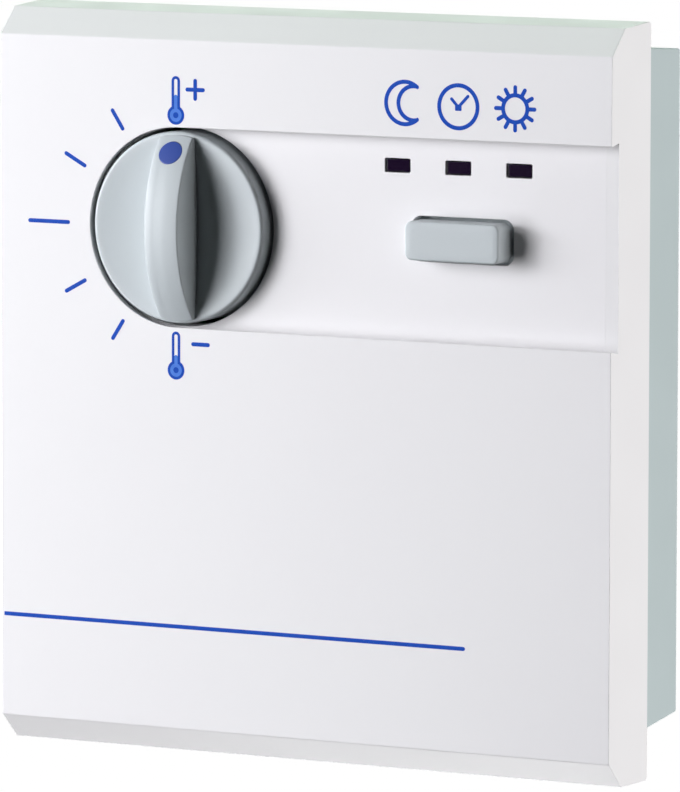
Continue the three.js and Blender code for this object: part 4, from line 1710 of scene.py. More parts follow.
@dataclass
class PrintedMarks:
    """The blue scale and symbols printed on the cover's face."""

    face: float
    left: float
    dial_x: float
    dial_z: float
    film: float = 0.02
    sunk: float = 0.05
    line: float = 0.55

    def inked(self, name: str, outline: Sequence[Flat]) -> Thing:
        """A thin film of ink in the shape of an outline."""
        return plate(name, outline, self.face - self.sunk, self.face + self.film)

    def through(self, outline: Sequence[Flat]) -> Thing:
        """A cutter through the film in the shape of an outline."""
        return plate("hollow", outline, self.face - 1, self.face + 1)

    def kept(self, mark: Thing) -> None:
        """Dresses a finished mark."""
        dressed(mark, BLUE_INK, Body.COVER)

    def ticks(self) -> None:
        """The scale's ticks: one long at nine o'clock and two shorter pairs."""
        centre = Vector((self.dial_x, -self.face, self.dial_z))
        pitch = 28.5
        sizes = {"scale_tick_long": (16.6, 23.1, 1, 180.0, 0.0),
                 "scale_ticks_near": (16.0, 19.8, 2, 180.0 - pitch, 2 * pitch),
                 "scale_ticks_far": (15.2, 18.6, 2, 180.0 - 2 * pitch, 4 * pitch)}
        for name, (inner, outer, count, first, step) in sizes.items():
            reach = (outer - inner - self.line) / 2
            outline = stroke((-reach, 0.0), (reach, 0.0), self.line)
            unit = plate("tick", outline, -self.sunk, self.film)
            marks = Pattern(name, unit, BLUE_INK).round(count, centre, (inner + outer) / 2, first, step)
            self.kept(marks)

    def thermometer(self, name: str, x: float, bulb_z: float, top_z: float, level_z: float) -> None:
        """A thermometer with its bulb at the bottom.

        Args:
            name: The mark's name.
            x: Its middle.
            bulb_z: The bulb's centre.
            top_z: The tube's top.
            level_z: The column's top.
        """
        bulb, tube, wall, overlap = 1.28, 0.64, 0.38, 0.03
        mark = self.inked(name, circle(x, bulb_z, bulb, 48))
        stem = self.inked("stem", stroke((x, bulb_z), (x, top_z - tube), 2 * tube))
        worked(mark, Cut.JOIN, stem)
        inner, bore_half = bulb - wall, tube - wall
        hollow = self.through(circle(x, bulb_z, inner, 40))
        bore = self.through(stroke((x, bulb_z), (x, top_z - tube), 2 * bore_half))
        worked(mark, Cut.AWAY, hollow, bore)
        low, high = self.face - self.sunk, self.face + self.film / 2
        fill = plate(f"{name}_fill", circle(x, bulb_z, inner + overlap, 40), low, high)
        column = plate("column", stroke((x, bulb_z), (x, level_z), 2 * (bore_half + overlap)), low, high)
        worked(fill, Cut.JOIN, column)
        dressed(fill, PALE_INK, Body.COVER)
        dot = self.inked("dot", circle(x, bulb_z, 0.4, 32))
        dot.name = f"{name}_dot"
        self.kept(dot)
        self.kept(mark)

    def signs(self) -> None:
        """The plus and the minus."""
        x, z, arm = -15.9, 39.95, 1.2
        plus = self.inked("plus_sign", stroke((x - arm, z), (x + arm, z), self.line))
        upright_stroke = self.inked("upright", stroke((x, z - arm), (x, z + arm), self.line))
        self.kept(worked(plus, Cut.JOIN, upright_stroke))
        z = 5.78
        self.kept(self.inked("minus_sign", stroke((-16.25, z), (-13.95, z), self.line)))

    def crescent(self, x: float, z: float, grow: float) -> list[Flat]:
        """A crescent's outline, moved out or in by half a stroke.

        Args:
            x: The left of its middle line.
            z: Its middle in height.
            grow: How far its outline moves out, or in if negative.

        Returns:
            The outline.
        """
        outer_x, outer_r, inner_x, inner_r = x + 2.8, 2.8, x + 4.09, 2.26
        big, small = outer_r + grow, inner_r - grow
        if grow > 0:
            tip = Vector((x + 4.6, 2.14))
            far = math.degrees(math.atan2(tip.y, tip.x - outer_x))
            near = math.degrees(math.atan2(tip.y, tip.x - inner_x))
            top_cap = arc(tip.x, z + tip.y, grow, near - 180, far, 8)
            low_cap = arc(tip.x, z - tip.y, grow, -far, 180 - near, 8)
        else:
            gap = inner_x - outer_x
            cross = (big**2 - small**2 + gap**2) / (2 * gap)
            rise = math.sqrt(big**2 - cross**2)
            far = math.degrees(math.atan2(rise, cross))
            near = math.degrees(math.atan2(rise, cross - gap))
            top_cap, low_cap = [], []
        outer = arc(outer_x, z, big, far, 360 - far, 40)
        inner = arc(inner_x, z, small, 360 - near, near, 30)
        return [*outer, *low_cap[1:-1], *inner, *top_cap[1:-1]]

    def moon(self) -> None:
        """The crescent moon, drawn as a line."""
        x, z, half = 12.86, 39.4, self.line / 2
        mark = self.inked("moon_mark", self.crescent(x, z, half))
        self.kept(worked(mark, Cut.AWAY, self.through(self.crescent(x, z, -half))))

    def clock(self) -> None:
        """The clock face: a ring, a hub and two hands."""
        x, z, outer = 23.55, 39.2, 3.1
        ring = self.inked("clock_mark", circle(x, z, outer, 64))
        worked(ring, Cut.AWAY, self.through(circle(x, z, outer - self.line, 64)))
        hub = self.inked("hub", filleted(rectangle(x, z - 0.12, 0.95, 0.85), 0.12))
        long_hand = self.inked("long_hand", stroke((x + 0.1, z + 0.05), (x + 1.42, z + 1.42), 0.42))
        short_hand = self.inked("short_hand", stroke((x - 0.1, z + 0.05), (x - 1.0, z + 1.0), 0.42))
        hands = worked(hub, Cut.JOIN, long_hand, short_hand)
        hands.name = "clock_hands"
        self.kept(ring)
        self.kept(hands)

    def sun(self) -> None:
        """The sun: a ring with rays."""
        x, z, inner, outer, reach, count = 31.9, 39.25, 1.5, 2.05, 3.1, 12
        ring = self.inked("sun_ring", circle(x, z, outer, 64))
        self.kept(worked(ring, Cut.AWAY, self.through(circle(x, z, inner, 64))))
        half = (reach - outer) / 2
        lower = self.film / 2  # the rays' feet lie a hair under the ring's film
        unit = plate("ray", stroke((-half, 0.0), (half - self.line / 2, 0.0), self.line), -self.sunk,
                     self.film - lower)
        centre = Vector((x, -self.face, z))
        self.kept(Pattern("sun_rays", unit, BLUE_INK).round(count, centre, outer + half, 0.0, 360 / count))

    def rule(self) -> None:
        """The long line from the left edge, with a round right end."""
        z, end, half = -32.6, 24.8, self.line / 2
        start = self.left + 0.36
        outline = [(start, z + half), (start, z - half), *arc(end - half, z, half, -90, 90, 8)]
        self.kept(self.inked("rule_line", outline))

    def build(self) -> None:
        """Makes every mark."""
        self.ticks()
        self.thermometer("thermometer_high", -18.86, 36.45, 41.69, 38.9)
        self.thermometer("thermometer_low", -18.86, 2.15, 7.36, 3.9)
        self.signs()
        self.moon()
        self.clock()
        self.sun()
        self.rule()


# ---- The electronics ----


@dataclass
class WayRow:
    """Where the terminal block's ways stand."""

    places: list[Box]

    @property
    def count(self) -> int:
        """How many ways."""
        return len(self.places)

    @property
    def pitch(self) -> float:
        """From one way to the next."""
        return self.places[1].x - self.places[0].x

    def start(self, depth: float, z: float) -> Vector:
        """The first way's place at a depth and a height."""
        return Vector((self.places[0].x, -depth, z))

    @property
    def step(self) -> Vector:
        """The step between ways as a vector."""
        return across(self.pitch)

    def row(self, name: str, unit: Thing, finish: Finish, depth: float, z: float) -> Thing:
        """One copy of a mesh for each way, at a depth and a height, as one mesh."""
        return Pattern(name, unit, finish).along(self.count, self.start(depth, z), self.step)


@dataclass
class TerminalBlock:
    """The green screw terminal: a housing with a well, a wire entry and a steel clamp in each way."""

    place: Box
    ways: WayRow
    edge: float = 0.35
    front_slope: float = 1.7
    well_radius: float = 1.95
    groove: float = 0.3
    entry_width: float = 3.4
    entry_height: float = 3.0
    entry_depth: float = 20.6
    entry_reach: float = 5.4
    slot_width: float = 0.55
    slot_depth: float = 0.7

    def housing(self) -> Thing:
        """The housing with its wells, wire entries and grooves.

        Returns:
            The solid.
        """
        box, slope, end_round = self.place, self.front_slope, quarter_round(0.25)
        profile = [(box.back, box.bottom), (box.front - slope, box.bottom), (box.front, box.bottom + slope),
                   (box.front, box.top - slope), (box.front - 2 * slope, box.top), (box.back, box.top)]
        rings = [sideways(filleted(profile, self.edge, inset), box.left + run) for run, inset in end_round]
        rings += [sideways(filleted(profile, self.edge, inset), box.right - run)
                  for run, inset in reversed(end_round)]
        body = lofted("terminal_housing", rings)
        return worked(body, Cut.AWAY, self.wells(), self.entries(), *self.grooves())

    def wells(self) -> Thing:
        """The screw wells.

        Returns:
            The row as one cutter.
        """
        first, front = self.ways.places[0], self.place.front
        low = -(front - (first.back - 0.3))
        radius, flare = self.well_radius, 0.2
        profile = [(radius, low), (radius, -flare), (radius + flare, 0.0), (radius + flare, 1.0)]
        unit = turned("well", profile, 0, 0, 40)
        return self.ways.row("wells", unit, TERMINAL_NYLON, front, first.z)

    def entries(self) -> Thing:
        """The wire entries in the lower face.

        Returns:
            The row as one cutter.
        """
        corners = rectangle(0, 0, self.entry_width, self.entry_height)
        rings = []
        for z, inset in ((-1.0, -0.3), (0.0, -0.3), (0.3, 0.0), (self.entry_reach, 0.0)):
            rings.append([Vector((x, y, z)) for x, y in filleted(corners, 0.5, inset)])
        unit = lofted("entry", rings)
        return self.ways.row("entries", unit, TERMINAL_NYLON, self.entry_depth, self.place.bottom)

    def grooves(self) -> list[Thing]:
        """The shallow grooves that mark the joints between the ways.

        Returns:
            The cutters.
        """
        box, deep = self.place, self.groove
        joints = [self.ways.places[0].x + (i - 0.5) * self.ways.pitch for i in range(1, self.ways.count)]
        outlines = [rectangle(x, box.z, deep, box.height + 2) for x in joints]
        return [plate("groove", outline, box.front - deep, box.front + 1) for outline in outlines]

    def clamps(self) -> Thing:
        """The steel clamps seen in the wire entries.

        Returns:
            The row.
        """
        gap, wall, low, high = 0.1, 0.45, 1.0, self.entry_reach - 0.2
        half_w, half_h = self.entry_width / 2 - gap, self.entry_height / 2 - gap
        outer = between(-half_w, half_w, -half_h, half_h)
        frame_rings = [[Vector((x, y, z)) for x, y in filleted(outer, 0.3)] for z in (low, high)]
        bore = filleted(outer, 0.3, wall)
        bore_rings = [[Vector((x, y, z)) for x, y in bore] for z in (low - 1, high - 0.6)]
        unit = smoothed(worked(lofted("clamp", frame_rings), Cut.AWAY, lofted("bore", bore_rings)))
        return self.ways.row("terminal_clamps", unit, ZINC, self.entry_depth, self.place.bottom)

    def screws(self) -> Thing:
        """The slotted clamp screws.

        Returns:
            The row.
        """
        first = self.ways.places[0]
        height = first.front - first.back
        unit = slotted_screw(first.width / 2, height, 0.0, 0.0, self.slot_width, self.slot_depth)
        return self.ways.row("terminal_screws", unit, ZINC, first.front, first.z)

    def build(self) -> None:
        """Makes the block, its clamps and its screws."""
        dressed(self.housing(), TERMINAL_NYLON, Body.BASE, ["terminal_block"])
        dressed(self.clamps(), ZINC, Body.BASE, angle=None)
        nodes = [f"terminal_screw_{i}" for i in range(1, self.ways.count + 1)]
        dressed(self.screws(), ZINC, Body.BASE, nodes, angle=None)


@dataclass
class BoardScrews:
    """The four screws that hold the board to the base's bosses."""

    places: list[Box]
    board_front: float
    shank_radius: float = 1.4
    slot_width: float = 0.8
    slot_depth: float = 0.9

    def build(self) -> None:
        """Makes the screws as an upper and a lower pair."""
        for name, left, right, nodes in (
            ("board_screws_upper", 0, 1, ("board_screw_1", "board_screw_2")),
            ("board_screws_lower", 2, 3, ("board_screw_3", "board_screw_4")),
        ):
            first, second = self.places[left], self.places[right]
            head = first.front - self.board_front - 0.3
            shank = first.front - head - first.back
            slot = (self.slot_width, self.slot_depth)
            unit = slotted_screw(first.width / 2, head, self.shank_radius, shank, *slot)
            start = Vector((first.x, -first.front, first.z))
            base_row(name, unit, ZINC, 2, start, across(second.x - first.x), nodes)


@dataclass
class ControllerChip:
    """The controller: a moulded body with a row of bent legs along its top and bottom."""

    place: Box
    board_front: float
    body_height: float = 7.5
    lead_pitch: float = 1.27
    lead_width: float = 0.42
    lead_thickness: float = 0.25
    mould_draft: float = 0.25
    per_side: int = 10

    def leg(self, sign: float) -> Thing:
        """One gull-wing leg that leaves the body at the origin, down or up.

        Args:
            sign: Minus one for down, one for up.

        Returns:
            The leg, shaded.
        """
        box = self.place
        reach = (box.height - self.body_height) / 2
        foot = self.board_front + self.lead_thickness / 2 + 0.02
        drop = (box.back + box.front) / 2 - foot
        line = [(0.0, -0.2), (0.0, 0.3), (-0.06, 0.42), (-0.2, 0.48), (0.2 - drop, 0.6),
                (0.06 - drop, 0.68), (-drop, 0.8), (-drop, reach)]
        outline = [(depth, sign * out) for depth, out in strip(line, self.lead_thickness)]
        half = self.lead_width / 2
        return smoothed(lofted("leg", [sideways(outline, -half), sideways(outline, half)]), 40)

    def build(self) -> None:
        """Makes the body and its two rows of legs."""
        box = self.place
        middle = (box.back + box.front) / 2
        corners = rectangle(box.x, box.z, box.width, self.body_height)
        draft = self.mould_draft
        rings = [upright(filleted(corners, 0.3, inset), depth) for depth, inset in
                 ((box.back, draft), (middle - 0.1, 0.0), (middle + 0.1, 0.0), (box.front - 0.08, draft),
                  (box.front, draft + 0.08))]
        body = lofted("chip_body", rings)
        low, high, inset = box.front - 0.1, box.front + 1, 1.4
        dimple = [(0.0, low), (0.45, low), (0.5, high), (0.0, high)]
        mark = turned("pin_one", dimple, box.left + inset, box.z - self.body_height / 2 + inset, 32)
        dressed(worked(body, Cut.AWAY, mark), CHIP_EPOXY, Body.BASE, ["controller_chip"], angle=12)
        first = box.x - (self.per_side - 1) / 2 * self.lead_pitch
        for name, sign in (("chip_legs_lower", -1.0), ("chip_legs_upper", 1.0)):
            start = Vector((first, -middle, box.z + sign * self.body_height / 2))
            base_row(name, self.leg(sign), TINNED, self.per_side, start, across(self.lead_pitch))


@dataclass
class SmoothingCapacitor:
    """An electrolytic can: a printed sleeve over an aluminium can with a scored top."""

    place: Box
    crimp: float = 1.3
    top_roll: float = 0.45
    lip: float = 0.55

    def build(self) -> None:
        """Makes the sleeve and the can's top."""
        box, radius = self.place, self.place.width / 2
        back, front = box.back, box.front
        profile = [(0.0, back), (radius - 0.5, back), (radius - 0.1, back + 0.3), (radius, back + 0.6)]
        for i in range(7):
            angle = math.pi * i / 6
            profile.append((radius - 0.35 * math.sin(angle), back + self.crimp + 0.45 * (i - 3) / 3))
        profile += [(radius, front - self.top_roll)]
        profile += rolled(radius, front, self.top_roll, 6)[1:]
        inner = radius - self.top_roll - self.lip
        profile += [(inner, front), (inner, front - 0.12), (0.0, front - 0.12)]
        sleeve = turned("capacitor_sleeve", profile, box.x, box.z, 64)
        dressed(sleeve, SLEEVE, Body.BASE, ["smoothing_capacitor"])
        face, low, rim = front - 0.05, front - 0.3, inner - 0.03
        profile = [(0.0, low), (rim, low), (rim, face - 0.04), (inner - 0.08, face), (0.0, face)]
        top = turned("capacitor_top", profile, box.x, box.z, 64)
        scores = [plate("score", rectangle(box.x, box.z, *size), face - 0.06, face + 1)
                  for size in ((1.4 * inner, 0.16), (0.16, 1.4 * inner))]
        dressed(worked(top, Cut.AWAY, *scores), TINNED, Body.BASE)
        stripe_arc = arc(box.x, box.z, radius + 0.02, -18, 18, 8)
        stripe_back = arc(box.x, box.z, radius - 0.2, 18, -18, 8)
        low, high = back + self.crimp + 0.7, front - self.top_roll - 0.1
        stripe = plate("capacitor_stripe", stripe_arc + stripe_back, low, high)
        dressed(stripe, SLEEVE_PRINT, Body.BASE)


@dataclass
class FilmCapacitor:
    """A film capacitor: a dipped box on two leads."""

    place: Box
    board_front: float
    edge: float = 0.5
    lead_spacing: float = 5.0
    lead_radius: float = 0.28
    stand_off: float = 0.6

    def build(self) -> None:
        """Makes the box and its leads."""
        box = self.place
        corners = rectangle(box.x, box.z, box.width, box.height)
        foot = box.back + self.stand_off
        dipped = soft_plate("film_box", corners, 0.6, foot, box.front, self.edge, self.edge)
        dressed(dipped, FILM_BOX, Body.BASE, ["film_capacitor"], angle=50)
        start = Vector((box.x - self.lead_spacing / 2, -self.board_front, box.z))
        lead = soldered_lead(foot + 0.5 - self.board_front, self.lead_radius)
        base_row("film_leads", lead, TINNED, 2, start, across(self.lead_spacing))


def soldered_lead(length: float, radius: float) -> Thing:
    """A straight lead in a cone of solder, with the board's face at the origin.

    Args:
        length: How far it stands off the board.
        radius: Its radius.

    Returns:
        The lead, shaded.
    """
    gap = 0.02
    profile = [(0.0, gap), (radius * 2.6, gap), (radius * 2.4, gap + 0.08), (radius * 1.4, gap + 0.3),
               (radius, gap + 0.55), (radius, length), (0.0, length)]
    return smoothed(turned("lead", profile, 0, 0, 20), 50)


@dataclass
class RoomSensor:
    """The temperature sensor: a dipped bead on two leads that reach below the board."""

    place: Box
    board: Box
    lead_spacing: float = 1.6
    lead_radius: float = 0.22

    def build(self) -> None:
        """Makes the bead and its leads."""
        box = self.place
        depth, radius = (box.back + box.front) / 2, box.width / 2
        centre = box.bottom + radius
        profile = [(0.0, box.bottom)]
        for i in range(1, 12):
            angle = math.pi * i / 13
            profile.append((radius * math.sin(angle), centre - radius * math.cos(angle)))
        neck = centre + radius
        profile += [(0.75, neck), (0.45, neck + 0.9), (0.0, neck + 1.3)]
        dressed(turned_on("sensor_bead", profile, Axis.UP, (box.x, depth), 40), BEAD_EPOXY, Body.BASE,
                ["room_sensor"], angle=60)
        foot = self.board.front + 0.02
        leads = []
        for side in (-0.5, 0.5):
            x = box.x + side * self.lead_spacing
            near = box.x + side * 0.7
            end = box.top - 0.2
            places = ((near, -depth, centre + radius * 0.5), (near, -depth, neck + 1.0),
                      (x, -depth, neck + 2.0), (x, -depth, end), (x, -foot, end))
            leads.append(bent_wire("sensor_lead", [Vector(place) for place in places], self.lead_radius))
        dressed(worked(leads[0], Cut.JOIN, leads[1]), TINNED, Body.BASE)


@dataclass
class StatusLights:
    """The three indicator lamps behind the lenses: clear domes on flanges."""

    places: list[Box]
    board_front: float
    body_radius: float = 1.5
    flange: float = 1.0

    def build(self) -> None:
        """Makes the lamps and their leads as rows."""
        first = self.places[0]
        radius, height = self.body_radius, first.front - first.back
        flange_radius = first.width / 2
        profile = [(0.0, 0.0), (flange_radius, 0.0), (flange_radius, self.flange - 0.1),
                   (flange_radius - 0.1, self.flange), (radius, self.flange)]
        for i in range(9):
            angle = math.pi / 2 * i / 8
            profile.append((radius * math.cos(angle), height - radius + radius * math.sin(angle)))
        profile[-1] = (0.0, height)
        unit = smoothed(turned("lamp", profile, 0, 0, 40))
        start, step = Vector((first.x, -first.back, first.z)), across(self.places[1].x - first.x)
        nodes = ["led_left", "led_middle", "led_right"]
        base_row("status_lamps", unit, LED_RESIN, len(self.places), start, step, nodes)


@dataclass
class SeriesResistors:
    """The three resistors: lacquered bodies with colour bands, lying on bent leads."""

    places: list[Box]
    board_front: float
    body_share: float = 0.74
    neck: float = 0.82
    band_width: float = 0.5
    lead_radius: float = 0.26

    def unit(self) -> Thing:
        """One body about the origin, lying across.

        Returns:
            The body, shaded.
        """
        first = self.places[0]
        radius = first.height / 2
        half, end = first.width * self.body_share / 2, 0.35
        cap, waist = half * 0.36, radius * self.neck
        profile = [(0.0, -half), (radius - end, -half), (radius - 0.08, -half + end * 0.5),
                   (radius, -half + end), (radius, -half + cap), (waist, -half + cap + 0.5),
                   (waist, half - cap - 0.5), (radius, half - cap), (radius, half - end),
                   (radius - 0.08, half - end * 0.5), (radius - end, half), (0.0, half)]
        return smoothed(turned_on("resistor", profile, Axis.ACROSS, (0, 0)), 50)

    def leads(self) -> Thing:
        """One resistor's leads about the origin.

        Returns:
            Both leads as one mesh, shaded.
        """
        first = self.places[0]
        lift = (first.back + first.front) / 2 - self.board_front - 0.02
        inner, outer = first.width * self.body_share / 2 - 0.2, first.width / 2 - self.lead_radius
        wires = []
        for side in (-1, 1):
            path = [across(side * inner), across(side * outer), Vector((side * outer, lift, 0))]
            wires.append(bent_wire("lead", path, self.lead_radius))
        return smoothed(worked(wires[0], Cut.JOIN, wires[1]), 50)

    def build(self) -> None:
        """Makes the bodies, leads and bands as rows."""
        first, count = self.places[0], len(self.places)
        start = Vector((first.x, -(first.back + first.front) / 2, first.z))
        step = across(self.places[1].x - first.x)
        nodes = [f"led_resistor_{side}" for side in ("left", "middle", "right")]
        base_row("series_resistors", self.unit(), RESISTOR_LACQUER, count, start, step, nodes)
        base_row("resistor_leads", self.leads(), TINNED, count, start, step)
        radius, half = first.height / 2 * self.neck, self.band_width / 2
        profile = between(radius - 0.1, radius + 0.02, -half, half)
        bands = (("resistor_bands_brown", -0.55, BAND_BROWN), ("resistor_bands_orange", 0.45, BAND_ORANGE))
        for name, shift, finish in bands:
            base_row(name, lofted_ring("band", profile, 40), finish, count, start + across(shift), step)


@dataclass
class PushSwitch:
    """The tact switch under the button: a black body under a pressed steel plate."""

    place: Box
    plunger: Box
    board_front: float
    travel: float = 0.9
    gap: float = 0.3
    plate_thickness: float = 0.3
    rivet_radius: float = 0.5

    def build(self) -> None:
        """Makes the body, its plate and rivets."""
        box = self.place
        corners = rectangle(box.x, box.z, box.width, box.height)
        top = box.front - self.plate_thickness - 0.15
        body = soft_plate("switch_housing", corners, 0.4, box.back, top, 0.1, 0.2)
        bore = self.plunger.width / 2 + self.gap
        floor = self.plunger.back - self.travel - self.gap
        well = turned("well", [(bore, floor), (bore, box.front + 1)], box.x, box.z, 40)
        dressed(worked(body, Cut.AWAY, well), BLACK_PLASTIC, Body.BASE, ["switch_body"])
        cover, seat = rectangle(box.x, box.z, box.width - 0.1, box.height - 0.1), top + 0.01
        lid = soft_plate("switch_plate", cover, 0.5, seat, seat + self.plate_thickness, 0.08)
        hole = turned("hole", [(bore, top - 1), (bore, box.front + 1)], box.x, box.z, 40)
        dressed(worked(lid, Cut.AWAY, hole), ZINC, Body.BASE)
        inset, radius = 0.95, self.rivet_radius
        profile = [(0.0, -0.3), (radius, -0.3), (radius, -0.1), (radius * 0.6, 0.0), (0.0, 0.0)]
        rows = (("switch_rivets_lower", box.bottom + inset), ("switch_rivets_upper", box.top - inset))
        for name, z in rows:
            unit = smoothed(turned("rivet", profile, 0, 0, 24), 50)
            start = Vector((box.left + inset, -box.front, z))
            base_row(name, unit, BLACK_PLASTIC, 2, start, across(box.width - 2 * inset))


@dataclass
class Potentiometer:
    """The potentiometer: a black body under a bent steel plate, and a threaded bush."""

    place: Box
    bush: Box
    shaft: Box
    plate_thickness: float = 0.5
    thread_depth: float = 0.3
    thread_pitch: float = 0.75

    def build(self) -> None:
        """Makes the body, the plate and the bush."""
        box, bush = self.place, self.bush
        bore = self.shaft.width / 2 + 0.15
        top = box.front - self.plate_thickness
        corners = rectangle(box.x, box.z, box.width, box.height)
        hole = [(bush.width / 2 + 0.05, box.back - 1), (bush.width / 2 + 0.05, box.front + 1)]
        body = soft_plate("potentiometer_case", corners, 3.0, box.back, top - 0.02, 0.2, 0.3)
        dressed(worked(body, Cut.AWAY, turned("hole", hole, box.x, box.z, 48)), BLACK_PLASTIC, Body.BASE,
                ["potentiometer_body"])
        lid = soft_plate("potentiometer_plate", corners, 2.5, top, box.front, 0.12)
        tab, low, high = 0.5, box.back + 0.5, top + 0.1
        sides = [box.x + side * (box.width / 2 - tab / 2) for side in (-1, 1)]
        worked(lid, Cut.JOIN, *[plate("tab", rectangle(x, box.z, tab, 5.0), low, high) for x in sides])
        dressed(worked(lid, Cut.AWAY, turned("hole", hole, box.x, box.z, 48)), ZINC, Body.BASE)
        radius = bush.width / 2
        profile = [(bore, bush.back), (radius, bush.back), (radius, box.front + 0.05)]
        at = box.front + 0.05
        while at + self.thread_pitch < bush.front:
            profile.append((radius - self.thread_depth, at + self.thread_pitch / 2))
            at += self.thread_pitch
            profile.append((radius, at))
        profile += [(radius - self.thread_depth, bush.front), (bore, bush.front), (bore, bush.back)]
        thread = tube_turned("threaded_bush", profile[:-1], bush.x, bush.z)
        dressed(thread, BRASS, Body.BASE, ["potentiometer_bush"])


@dataclass
class CircuitBoard:
    """The board's own dressing: its laminate, tinned pads and printed outlines."""

    place: Box
    ways: WayRow
    parts: list[Box]
    via_radius: float = 0.32
    film: float = 0.02
    outline: float = 0.18
    clearance: float = 0.45

    def rim(self, name: str, box: Box) -> Thing:
        """A printed outline round a component.

        Args:
            name: The mark's name.
            box: The component's box.

        Returns:
            The mark.
        """
        grow = self.clearance
        corners = rectangle(box.x, box.z, box.width + 2 * grow, box.height + 2 * grow)
        back, front = self.place.front - 0.01, self.place.front + self.film
        inside = plate("inside", filleted(corners, 0.4, self.outline), back - 1, front + 1)
        return worked(plate(name, filleted(corners, 0.4), back, front), Cut.AWAY, inside)

    def build(self) -> None:
        """Dresses the board."""
        refinished("circuit_board", MASK_GREEN)
        rims = [self.rim(f"outline_{i}", box) for i, box in enumerate(self.parts)]
        outlines = worked(rims[0], Cut.JOIN, *rims[1:])
        outlines.name = "board_outlines"
        dressed(outlines, BOARD_INK, Body.BASE)
        radius, film = self.via_radius, self.film
        profile = [(0.0, -0.01), (radius, -0.01), (radius, film), (radius * 0.5, film),
                   (radius * 0.45, 0.0), (0.0, 0.0)]
        rows = (("vias_top", 14, Vector((-27.0, 0, 41.6)), 4.1),
                ("vias_low", 9, Vector((13.5, 0, 1.9)), 2.54),
                ("vias_edge", 7, Vector((-8.4, 0, -7.6)), 2.54))
        for name, count, first, pitch in rows:
            unit = smoothed(turned("via", profile, 0, 0, 20), 50)
            start = first + Vector((0, -self.place.front, 0))
            base_row(name, unit, TINNED, count, start, across(pitch))
        profile = [(0.0, -0.9), (0.18, -0.9), (0.3, -0.5), (0.75, -0.05), (0.85, 0.0), (0.0, 0.0)]
        unit = smoothed(turned("joint", profile, 0, 0, 24), 50)
        start = self.ways.start(self.place.back - 0.01, self.ways.places[0].z)
        base_row("terminal_joints", unit, TINNED, self.ways.count, start, self.ways.step)


@dataclass
class Electronics:
    """The board and everything that stands on it, seen when the cover is off."""

    board: Box
    board_screws: list[Box]

    def build(self) -> None:
        """Makes the parts in order."""
        front = self.board.front
        ways = WayRow([box_of(f"terminal_screw_{i}") for i in range(1, 5)])
        block, can, film = box_of("terminal_block"), box_of("smoothing_capacitor"), box_of("film_capacitor")
        chip, switch, pot = box_of("controller_chip"), box_of("switch_body"), box_of("potentiometer_body")
        resistors = [box_of(f"led_resistor_{side}") for side in ("left", "middle", "right")]
        CircuitBoard(self.board, ways, [film, chip, switch, *resistors]).build()
        TerminalBlock(block, ways).build()
        BoardScrews(self.board_screws, front).build()
        ControllerChip(chip, front).build()
        SmoothingCapacitor(can).build()
        FilmCapacitor(film, front).build()
        RoomSensor(box_of("room_sensor"), self.board).build()
        StatusLights([box_of(f"led_{side}") for side in ("left", "middle", "right")], front).build()
        SeriesResistors(resistors, front).build()
        PushSwitch(switch, box_of("switch_plunger"), front).build()
        shaft = box_of("potentiometer_shaft")
        Potentiometer(pot, box_of("potentiometer_bush"), shaft).build()
        refinished("potentiometer_shaft", BRASS)
        refinished("knob_clip", ZINC)
        refinished("switch_plunger", BLACK_PLASTIC)


# ---- The studio ----


@dataclass(frozen=True)
class Lamp:
    """A soft light: where it stands round the object, its size in metres and its power in watts."""

    name: str
    azimuth: float
    elevation: float
    distance: float
    width: float
    height: float
    power: float
    tint: str = "#ffffff"


LAMPS = (
    Lamp("key", -43.0, 5.0, 1.1, 0.45, 1.1, 8.5, "#fbfbff"),
    Lamp("fill", -54.0, 5.0, 1.1, 0.4, 1.1, 4.8, "#fbfbff"),
    Lamp("flank", -60.0, 9.0, 0.8, 0.34, 0.22, 3.9, "#fbfbff"),
    Lamp("side", 99.0, 3.0, 1.1, 0.5, 0.7, 11.4, "#fffdfe"),
    Lamp("counter", 60.0, 5.0, 1.3, 0.7, 0.7, 0.3),
    Lamp("overhead", 180.0, 74.0, 1.1, 0.7, 0.4, 4.8, "#e8ffee"),
    Lamp("under", 180.0, -65.0, 0.42, 0.5, 0.2, 2.0),
    Lamp("rear", 215.0, 3.0, 1.3, 0.7, 0.7, 5.4, "#effff2"),
)


